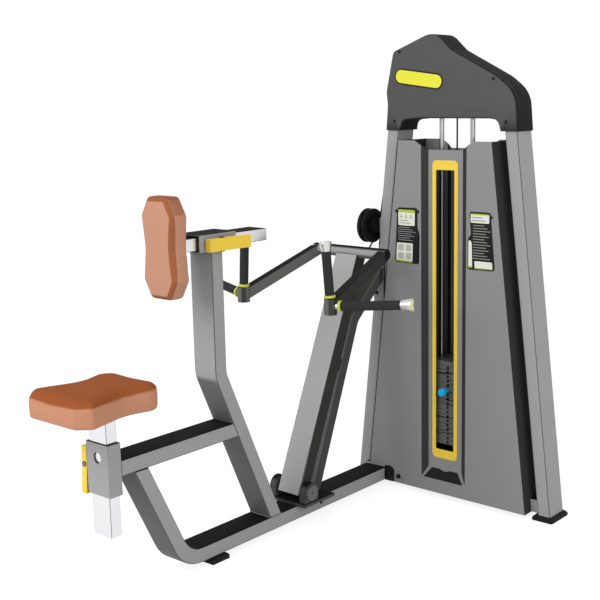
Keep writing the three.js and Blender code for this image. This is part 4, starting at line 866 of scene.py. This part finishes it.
def pad(name, node, shares, size, corner, waist, turn, cover):
    """A leather pad in a CAD pad's box, with its length, width and height along turn's directions"""
    low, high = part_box(node)
    length, width, height = size
    rings = pad_rings(shares, length, width, height, corner, waist, SWELL_CAP * 0.6)
    along, across, up = turn
    origin = Vector((high.x if up.x < 0 else low.x, 0, low.z))
    placed = [[origin + along * p.x + across * p.y + up * p.z for p in ring] for ring in rings]
    piece = layered(name, placed, cover)
    swelled(piece, up, origin)
    piece.data.materials.clear()
    piece.data.materials.append(cover)
    kept(piece, frame["nodes"][node]["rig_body"], stands_for=node)


pad("seat_cushion", "seat_pad", SEAT_SHARES, (276 * MM, 258 * MM, 69.4 * MM),
    corner=12 * MM, waist=120 * MM, turn=(AXIS_X, AXIS_Y, AXIS_Z), cover=SEAT_LEATHER)
pad("chest_cushion", "chest_pad", CHEST_SHARES, (280 * MM, 136 * MM, 55.4 * MM),
    corner=14 * MM, waist=160 * MM, turn=(AXIS_Z, AXIS_Y, -AXIS_X), cover=CHEST_LEATHER)


# Top cover: a shell of one smooth outline with rounded front and back edges

COVER_SHARES = [
    (1, -0.1), (0.962, 0.269), (0.982, 0.411), (0.868, 0.835), (0.343, 0.997), (0.181, 1),
    (-0.031, 0.835), (-0.694, 0.554), (-0.952, 0.389), (-1, -0.1), (-0.776, -0.1), (-0.716, 0.084),
    (-0.672, 0.118), (-0.584, 0.128), (0.448, 0.128), (0.676, 0.111), (0.732, 0.084), (0.776, -0.1),
]
COVER_ROUNDS = [0, 60, 60, 18, 60, 60, 50, 150, 150, 0, 0, 25, 25, 40, 40, 25, 25, 0]
COVER_HALF = 250 * MM
COVER_FOOT = 1203 * MM
COVER_TOP = 1500 * MM
COVER_FRONT = -49.5 * MM
COVER_BACK = 49 * MM
COVER_EDGE = [(0, 8), (0.6, 5.2), (1.8, 2.6), (4, 0.8), (7, 0)]
COVER_WALL = 3 * MM
ROD_SPACING = 58.5 * MM
ROD_HOLE = 11 * MM
CABLE_HOLE = 7 * MM
ARCH_HIGH = 1245 * MM
ARCH_CLEAR = 4 * MM
RIDGE_START = 40 * MM
RIDGE_SIDE = 0.85
RIDGE_BACK = 19 * MM
RIDGE_RADIUS = 1.6 * MM


def without_holes(piece, cutters):
    """Cuts the cutters from a piece and removes them"""
    for cutter in cutters:
        cut = piece.modifiers.new("hole", "BOOLEAN")
        cut.operation = "DIFFERENCE"
        cut.solver = "EXACT"
        cut.object = cutter
    applied(piece)
    for cutter in cutters:
        bpy.data.objects.remove(cutter)


def top_cover():
    height = COVER_TOP - COVER_FOOT
    corners = [
        (TOWER_Y + across * COVER_HALF, COVER_FOOT + up * height, radius * MM)
        for (across, up), radius in zip(COVER_SHARES, COVER_ROUNDS)
    ]
    outline = rounded(corners, 8)
    depths = [(COVER_FRONT + x * MM, step) for x, step in COVER_EDGE]
    depths += [(COVER_BACK - x * MM, step) for x, step in reversed(COVER_EDGE)]
    rings = []
    for x, step in depths:
        rings.append([Vector((TOWER_X + x, p.x, p.y)) for p in inset(outline, step * MM)])
    piece = layered("top_cover_shell", rings, COVER_PLASTIC)
    sliced(piece, (0, 0, COVER_FOOT), AXIS_Z, open_below=True)
    wall = piece.modifiers.new("wall", "SOLIDIFY")
    wall.thickness = COVER_WALL
    wall.offset = -1
    applied(piece)
    ridge = [p for p in inset(outline, -0.1 * MM) if p.x < TOWER_Y + RIDGE_START]
    ridge = [p for p in ridge if p.y > COVER_FOOT + ARCH_CLEAR]
    ridge = [p for p in ridge if p.x < TOWER_Y - COVER_HALF * RIDGE_SIDE or p.y > ARCH_HIGH]
    route = [Vector((TOWER_X + COVER_FRONT + RIDGE_BACK, p.x, p.y)) for p in ridge]
    kept(sweep("cover_ridge", route, RIDGE_RADIUS, COVER_PLASTIC, 10))
    holes = ((0, CABLE_HOLE), (-ROD_SPACING, ROD_HOLE), (ROD_SPACING, ROD_HOLE))
    without_holes(piece, [
        lathe("cutter", [(radius, COVER_FOOT), (radius, ARCH_HIGH)], Vector((TOWER_X, TOWER_Y + y, 0)),
              AXIS_Z, BLACK, 32)
        for y, radius in holes
    ])
    kept(piece, stands_for="top_cover")


top_cover()

COVER_FACE = TOWER_X + COVER_FRONT
for i, (y, z) in enumerate([(-95, 1450), (-74, 1232), (-491, 1231), (-446.2, 1359.5)]):
    centre = Vector((COVER_FACE + 0.2 * MM, y * MM, z * MM))
    bolt(f"cover_screw_{i + 1}", centre, FRONT, 5.5 * MM, 2 * MM)

# Badge: a plain yellow plate on a dark rim
BADGE_CENTRE = at(-170, 1364)
BADGE_LENGTH = 178 * MM
BADGE_HEIGHT = 41 * MM
BADGE_RIM = 9 * MM
PLATE_EDGE = 0.4 * MM
BADGE_TILT = math.radians(7.5)


def stadium(length, height):
    points = oblong(-length / 2, -height / 2, length / 2, height / 2, height / 2, 14)
    turn = Matrix.Rotation(BADGE_TILT, 2)
    return [BADGE_CENTRE + turn @ p for p in points]


rim = stadium(BADGE_LENGTH + BADGE_RIM, BADGE_HEIGHT + BADGE_RIM)
badge = stadium(BADGE_LENGTH, BADGE_HEIGHT)
kept(face_plate("badge_rim", rim, COVER_FACE, 1.2 * MM, BLACK, PLATE_EDGE))
kept(face_plate("badge_plate", badge, COVER_FACE - 1.1 * MM, 1.0 * MM, BADGE_YELLOW, PLATE_EDGE))


# Instruction plates on the shroud: dark plates with pale panels and plain rows

LEFT_PLATE = [
    (-104.4, 956.6), (-184.2, 959), (-183.9, 894.9), (-192.5, 874.2), (-190.1, 777), (-94.3, 779.2),
]
RIGHT_PLATE = [
    (-382.3, 958.4), (-458.7, 958.4), (-475.1, 779.3), (-376.6, 778), (-377.4, 872.5), (-388.6, 888.8),
]
PLATE_CORNER = 8
PLATE_DEPTH = 1.6 * MM
LABEL_DEPTH = 0.35 * MM
EAR_RADIUS = 5
ROW_SHORTEST = 0.66
ROW_HALF = 0.15
ROW_CORNER = 0.3


def patch(name, corners, material, radius=4, level=0):
    """A thin panel on an instruction plate, from its corners (y, z)"""
    outline = rounded([(y * MM, z * MM, radius * MM) for y, z in corners], 4)
    back = SHROUD_FACE - PLATE_DEPTH - level * LABEL_DEPTH
    kept(face_plate(name, outline, back, LABEL_DEPTH, material))


def rows(name, left, right, low, high, count, material, level):
    """Plain rows of uneven length, from the left edge"""
    step = (high - low) / count
    for i in range(count):
        z = high - (i + 0.5) * step
        end = left + (right - left) * (ROW_SHORTEST + (1 - ROW_SHORTEST) * ((i * 7) % 5) / 4)
        half = step * ROW_HALF
        corners = [(left, z - half), (end, z - half), (end, z + half), (left, z + half)]
        patch(f"{name}_{i + 1}", corners, material, ROW_CORNER, level)


for label, corners in (("left", LEFT_PLATE), ("right", RIGHT_PLATE)):
    outline = rounded([(y * MM, z * MM, PLATE_CORNER * MM) for y, z in corners], 5)
    back = SHROUD_FACE - 0.05 * MM
    plate = face_plate(f"{label}_placard", outline, back, PLATE_DEPTH, BLACK, PLATE_EDGE)
    kept(plate)
for name, y, z in (
    ("left_placard_ear_1", -102, 945),
    ("left_placard_ear_2", -186, 947),
    ("right_placard_ear", -461, 944),
):
    ear = lathe(name, in_mm([
        (0.01, 0), (EAR_RADIUS, 0), (EAR_RADIUS, 2.6), (EAR_RADIUS * 0.7, 3.4), (0.01, 3.6),
    ]), Vector((SHROUD_FACE, y * MM, z * MM)), FRONT, BLACK, 32)
    kept(ear)
patch("left_panel_top", [(-108.7, 900), (-173.9, 900), (-175, 951), (-109.5, 951)], LABEL)
patch("left_panel_top_band", [(-109, 942), (-175, 942), (-175, 951), (-109.5, 951)], LABEL_GREEN, 3, 1)
patch("left_panel_low", [(-99.4, 782), (-164.3, 780.5), (-166.5, 843), (-103, 843)], LABEL)
patch("left_panel_low_band", [(-99.4, 782), (-164.3, 780.5), (-164.5, 786), (-99.8, 786.5)],
      LABEL_GREEN, 2, 1)
rows("left_row", -108, -178, 849, 897, 7, LABEL_INK, 0)
rows("left_panel_row", -114, -168, 904, 920, 2, LABEL_INK, 1)
for i in range(4):
    y = -108 - 31 * (i % 2)
    z = 838 - 27 * (i // 2)
    patch(f"left_cell_{i + 1}", [(y, z - 20), (y - 22, z - 20.3), (y - 22, z), (y, z)], LABEL_CELL, 3, 1)
for i in range(3):
    y = -115 - 19 * i
    colour = LABEL_GREEN if i == 1 else LABEL_CELL
    patch(f"left_mark_{i + 1}", [(y, 924), (y - 12, 924), (y - 6.2, 937), (y - 5.8, 937)], colour, 0.5, 1)
patch("right_panel_top", [(-387.5, 924.6), (-454.8, 924.6), (-454.8, 953), (-387.5, 953)], LABEL)
patch("right_panel_top_band", [(-387.5, 949), (-454.8, 949), (-454.8, 953), (-387.5, 953)], LABEL_GREEN, 2, 1)
patch("right_panel_low", [(-403.4, 782), (-468.3, 783), (-466, 806), (-402, 806)], LABEL)
patch("right_panel_low_band", [(-403.4, 782), (-468.3, 783), (-468, 786), (-403, 785)], LABEL_GREEN, 1, 1)
rows("right_row", -396, -459, 810, 921, 13, LABEL_INK, 0)
rows("right_panel_row", -391, -450, 927, 946, 2, LABEL_INK, 1)
patch("right_panel_side", [(-379.5, 784), (-394, 784), (-392, 862), (-386, 871), (-380, 866)], LABEL, 3)
patch("right_panel_side_band", [(-379.5, 784), (-394, 784), (-393.8, 789), (-379.5, 789)], LABEL_GREEN, 1, 1)


# Window frame: beaded at both edges, dished between them and wider at its ends

TRIM_BACK = 798.7 * MM
TRIM_SIDE = 13.5
TRIM_END = 30
TRIM_CORNER = 15
TRIM_INNER_CORNER = 5
# How far in from the outer edge, as a share, and how high above the back in mm
TRIM_SECTION = [
    (0, 0), (0, 2.1), (0.05, 2.9), (0.14, 3.1), (0.26, 2.5), (0.5, 2.1), (0.76, 2.3), (0.86, 2.7),
    (0.95, 2.5), (1, 1.8), (1, 0),
]


def window_frame():
    low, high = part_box("window_trim")
    y_low, y_high, z_low, z_high = low.y / MM, high.y / MM, low.z / MM, high.z / MM
    outer = oblong(y_low, z_low, y_high, z_high, TRIM_CORNER, 8)
    inner = oblong(y_low + TRIM_SIDE, z_low + TRIM_END, y_high - TRIM_SIDE, z_high - TRIM_END,
                   TRIM_INNER_CORNER, 8)
    points = []
    for across, rise in TRIM_SECTION:
        for a, b in zip(outer, inner):
            place = a.lerp(b, across) * MM
            points.append(Vector((TRIM_BACK - rise * MM, place.x, place.y)))
    quads, _ = ring_faces(len(TRIM_SECTION), len(outer), True)
    piece = object_from("window_frame", points, quads, TRIM_YELLOW)
    kept(piece, stands_for="window_trim")


window_frame()


# The channel's foot: a dark shallow arch on the sloping end of the shroud's channel

CHANNEL_FOOT = [(-76, 0), (76, 0), (50, 0.93), (18, 0.93), (8, 0.8), (-8, 0.8), (-18, 0.93), (-50, 0.93)]
SLOPE_LOW = 64.5 * MM
SLOPE_HIGH = 101 * MM
CHANNEL_DEPTH = 12 * MM


def channel_foot():
    rings = []
    slope = SLOPE_HIGH - SLOPE_LOW
    outline = rounded([(y * MM, up, 0) for y, up in CHANNEL_FOOT])
    for lift in (0.1 * MM, -0.9 * MM):
        rings.append([
            Vector((SHROUD_FACE + p.y * CHANNEL_DEPTH + lift, TOWER_Y + p.x, SLOPE_LOW + p.y * slope))
            for p in outline
        ])
    kept(layered("channel_foot", rings, BLACK))


channel_foot()


# Pulleys, knob and cable


HUB_RADIUS = 18 * MM
RIM_WALL = 3 * MM
WEB_DEPTH = 4 * MM
LIP = 3 * MM
CABLE_GAP = 0.6 * MM


def pulley(name, node, centre, axis, wrap, flange, width, axle):
    """A wheel with a groove for the cable between flanges, and a thin web within its rim"""
    half = width / 2
    groove = wrap - CABLE_RADIUS - CABLE_GAP
    rim = groove - RIM_WALL
    web = half - WEB_DEPTH
    piece = lathe(name, looped([
        (axle, -half), (HUB_RADIUS, -half), (HUB_RADIUS, -web), (rim, -web), (rim, -half),
        (flange, -half), (flange, LIP - half), (groove, -CABLE_RADIUS), (groove, CABLE_RADIUS),
        (flange, half - LIP), (flange, half), (rim, half), (rim, web), (HUB_RADIUS, web),
        (HUB_RADIUS, half), (axle, half),
    ]), centre, axis, BLACK, 72, 0.5 * MM)
    kept(piece, frame["nodes"][node]["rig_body"], stands_for=node)


pulley("front_wheel_piece", "front_pulley", FRONT_PULLEY, AXIS_Y,
       FRONT_WRAP, flange=57 * MM, width=26 * MM, axle=8.2 * MM)
for label, centre in TOP_PULLEYS.items():
    pulley(f"{label}_wheel_piece", f"{label}_top_pulley", centre, AXIS_X,
           TOP_WRAP, flange=46 * MM, width=22 * MM, axle=7.2 * MM)

knob_low, knob_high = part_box("selector_pin")
knob_middle = (knob_low + knob_high) / 2
shank_radius = 5 * MM
knob = lathe("selector_knob", in_mm([
    (0.01, 0), (9.2, 0), (11.8, 1.6), (13, 5), (13, 17), (11.6, 21), (9, 24), (5, 24),
]) + [(shank_radius, knob_high.x - knob_low.x)], Vector((knob_low.x, knob_middle.y, knob_middle.z)),
    AXIS_X, KNOB)
kept(knob, "selector", stands_for="selector_pin")

LUG = at(689.8, 20, 710)
LUG_RADIUS = 12 * MM
ARC_STEPS = 24
CABLE_HELD = 18 * MM


def wheel_arc(centre, level, wrap):
    """The cable's place on a wheel, by the angle from a level direction up"""
    return lambda angle: centre + (level * math.cos(angle) + AXIS_Z * math.sin(angle)) * wrap


def along_arc(arc, start, end):
    return [arc(start + (end - start) * k / ARC_STEPS) for k in range(ARC_STEPS + 1)]


def between(start, end, count):
    return [start.lerp(end, k / count) for k in range(1, count)]


front_arc = wheel_arc(FRONT_PULLEY, AXIS_X, FRONT_WRAP)
left_arc = wheel_arc(TOP_PULLEYS["left"], AXIS_Y, TOP_WRAP)
centre_arc = wheel_arc(TOP_PULLEYS["centre"], AXIS_Y, TOP_WRAP)
to_lug = LUG - FRONT_PULLEY
low_angle = math.atan2(to_lug.z, to_lug.x) + math.acos(FRONT_WRAP / to_lug.length)
touch = front_arc(low_angle)
climb = TOP_PULLEYS["left"].z - FRONT_PULLEY.z
upper_angle = -math.atan2(TOWER_X - FRONT_PULLEY.x - FRONT_WRAP, climb)
leave_angle = math.atan2(FRONT_PULLEY.y - TOP_PULLEYS["left"].y - TOP_WRAP, climb)

pull = (touch - LUG).normalized()
lever_start = LUG + pull * (LUG_RADIUS + FIT)
held = touch - pull * CABLE_HELD
lever_run = sliced(sweep("lever_cable", [lever_start, touch], CABLE_RADIUS, CABLE), held, pull)
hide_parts("cable_lever_run")
# The swung cable turns at the held ring, behind the wheel's rim, and so stays clear of the groove
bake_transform(lever_run)

route = along_arc(front_arc, low_angle, upper_angle)
route += between(route[-1], left_arc(leave_angle), 12)
route += along_arc(left_arc, leave_angle, math.pi / 2)
route += between(route[-1], centre_arc(math.pi / 2), 6)
route += along_arc(centre_arc, math.pi / 2, math.pi)
main_run = sweep("main_cable", route, CABLE_RADIUS, CABLE)
kept(main_run, stands_for="cable_main_run")

# The stack's cable, which shortens towards its top as the stack rises: here a straight cord over the CAD
# run's height, with a mesh of its own
stack_low, stack_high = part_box("cable_stack_run")
stack_foot, stack_top = (Vector((TOWER_X, TOWER_Y, z)) for z in (stack_low.z, stack_high.z))
stack_run = sweep("stack_cable", [stack_foot, stack_top], CABLE_RADIUS, CABLE)
kept(stack_run, stands_for="cable_stack_run")
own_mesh(stack_run)


# Small parts

LATCH_X = -350
LATCH_Z = 917.2
HEAD_START = 17.8  # half a latch handle and its clearance
BRACE_FACE_X = 813.7

for label, x, y, z, direction in (
    ("seat_bolt_front", LATCH_X - HEAD_START, 60, 373, -AXIS_X),
    ("seat_bolt_back", LATCH_X + HEAD_START, 60, 373, AXIS_X),
    ("chest_bolt_top", 42, -60, LATCH_Z + HEAD_START, AXIS_Z),
    ("chest_bolt_low", 42, -60, LATCH_Z - HEAD_START, -AXIS_Z),
):
    bolt(label, at(x, y, z), direction, 7.2 * MM, 3.2 * MM)

shaft_low, shaft_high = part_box("pivot_shaft")
shaft_middle = (shaft_low + shaft_high) / 2
for label, side, y in (("left", 1, shaft_high.y), ("right", -1, shaft_low.y)):
    centre = Vector((shaft_middle.x, y, shaft_middle.z))
    bolt(f"{label}_shaft_dimple", centre, (0, side, 0), 3 * MM, 1 * MM, "lever")
bolt("beam_side_bolt", at(452.6, -45, 46.8), -AXIS_Y, 6.5 * MM, 3.5 * MM)
lug_ring = lathe("brace_lug_ring", looped(in_mm([
    (9, 0), (14, 0), (15, 1.5), (14, 3.5), (10, 3.5), (9, 2.5),
])), at(BRACE_FACE_X, -5, 745), FRONT, BARE_STEEL, 40)
kept(lug_ring)
for i, (y, z) in enumerate(((-5, 745), (4, 661))):
    bolt(f"brace_bolt_{i + 1}", at(BRACE_FACE_X, y, z), FRONT, 7 * MM, 5 * MM)

# Joint of beam and tower: a plate with a bolt, and a second bolt beside it. The plate is real; its black is
# painted shade on its face
JOINT_PLATE = [(-46.5, 19), (-84, 19), (-84, 58), (-74, 71), (-46.5, 71)]
outline = rounded([(y * MM, z * MM, 4 * MM) for y, z in JOINT_PLATE], 4)
plate = face_plate("joint_plate", outline, SHROUD_FACE - 0.1 * MM, 5 * MM, BLACK, 0.8 * MM)
kept(plate)
bolt("joint_bolt_1", at(SHROUD_FACE / MM - 5, -66, 44), FRONT, 8 * MM, 5 * MM)
bolt("joint_bolt_2", at(SHROUD_FACE / MM, -103, 42), FRONT, 8 * MM, 7 * MM)
cap = lathe("shroud_side_cap", in_mm([
    (8, 0), (9, 1), (9, 12), (8, 15), (5.5, 17), (0.01, 17.6),
]), at(797, 24, 60), AXIS_Y, GREY_PAINT, 40)
kept(cap)

WELD_RADIUS = 1.9 * MM
WELD_PITCH = 3.2 * MM
WELD_RIPPLE = 0.25 * MM
TUBE_HALF_X = 22.5 * MM
TUBE_HALF_Y = 45 * MM


def weld(name, corners):
    """A rippled bead along a closed route of corner points"""
    route = []
    for start, end in zip(corners, corners[1:] + corners[:1]):
        count = max(int((end - start).length / WELD_PITCH * 2), 2)
        route += [start.lerp(end, k / count) for k in range(count)]
    route = [p + Vector((0, 0, WELD_RIPPLE * (i % 2))) for i, p in enumerate(route)]
    kept(sweep(name, route, WELD_RADIUS, GREY_PAINT, 8, True))


def tube_foot(centre_x, half_x, z):
    outline = oblong(centre_x - half_x, -TUBE_HALF_Y, centre_x + half_x, TUBE_HALF_Y, 7 * MM, 3)
    return [Vector((p.x, p.y, z)) for p in outline]


POST_LEAN = (242.6 - 37) / (541 - 60.8)
weld("chest_post_weld", tube_foot(242.6 * MM, TUBE_HALF_X * math.hypot(1, POST_LEAN), 60.9 * MM))
weld("chest_sleeve_weld", tube_foot(37 * MM, TUBE_HALF_X, 896.7 * MM))


# Floor, backdrop and light

FLOOR_SIDE = 16
FLOOR_LEVEL = 0.8
SEEN_RAYS = ("Is Camera Ray", "Is Glossy Ray", "Is Transmission Ray")
SHADOW_SHARE = 0.3
FLOOR_GLOW = 0.84
WORLD_LEVEL = 0.62


def seen(tree):
    """1 where the camera, a reflection or a view through something sees the place"""
    path = new_node(tree, "LightPath")
    total = path.outputs[SEEN_RAYS[0]]
    for kind in SEEN_RAYS[1:]:
        node = new_node(tree, "Math")
        node.operation = "MAXIMUM"
        tree.links.new(total, node.inputs[0])
        tree.links.new(path.outputs[kind], node.inputs[1])
        total = node.outputs[0]
    return total


def grey(level):
    return (level, level, level, 1)


def make_floor():
    bpy.ops.mesh.primitive_plane_add(size=FLOOR_SIDE, location=(0.3, -0.3, 0))
    floor = bpy.context.object
    floor.name = "floor"
    material = bpy.data.materials.new("floor")
    material.use_nodes = True
    tree = material.node_tree
    tree.nodes.clear()
    link = tree.links.new
    out = new_node(tree, "OutputMaterial")
    plain = new_node(tree, "BsdfDiffuse", Color=grey(FLOOR_LEVEL))
    shadow = new_node(tree, "BsdfDiffuse", Color=grey(SHADOW_SHARE))
    glow = new_node(tree, "Emission", Color=grey(1), Strength=FLOOR_GLOW)
    seen_floor = new_node(tree, "AddShader")
    link(shadow.outputs[0], seen_floor.inputs[0])
    link(glow.outputs[0], seen_floor.inputs[1])
    mix = new_node(tree, "MixShader")
    link(seen(tree), mix.inputs["Fac"])
    link(plain.outputs[0], mix.inputs[1])
    link(seen_floor.outputs[0], mix.inputs[2])
    link(mix.outputs[0], out.inputs["Surface"])
    floor.data.materials.append(material)


def make_world():
    world = bpy.data.worlds.new("studio")
    scene.world = world
    world.use_nodes = True
    tree = world.node_tree
    link = tree.links.new
    back = tree.nodes["Background"]
    set_inputs(back, Color=grey(1))
    level = new_node(tree, "MapRange", To_Min=WORLD_LEVEL, To_Max=1)
    link(seen(tree), level.inputs["Value"])
    link(level.outputs["Result"], back.inputs["Strength"])


def soft_lamp(name, place, aim, side, power):
    data = bpy.data.lights.new(name, "AREA")
    data.shape = "SQUARE"
    data.size = side
    data.energy = power
    lamp = bpy.data.objects.new(name, data)
    lamp.location = place
    lamp.rotation_mode = "QUATERNION"
    lamp.rotation_quaternion = (Vector(aim) - Vector(place)).to_track_quat("-Z", "Y")
    scene.collection.objects.link(lamp)


make_floor()
make_world()
soft_lamp("key", (-3.2, 0.6, 2.6), (0.3, -0.1, 0.7), 2.6, 85)
soft_lamp("fill", (-0.6, -3.6, 2.0), (0.4, -0.2, 0.7), 2.6, 38)
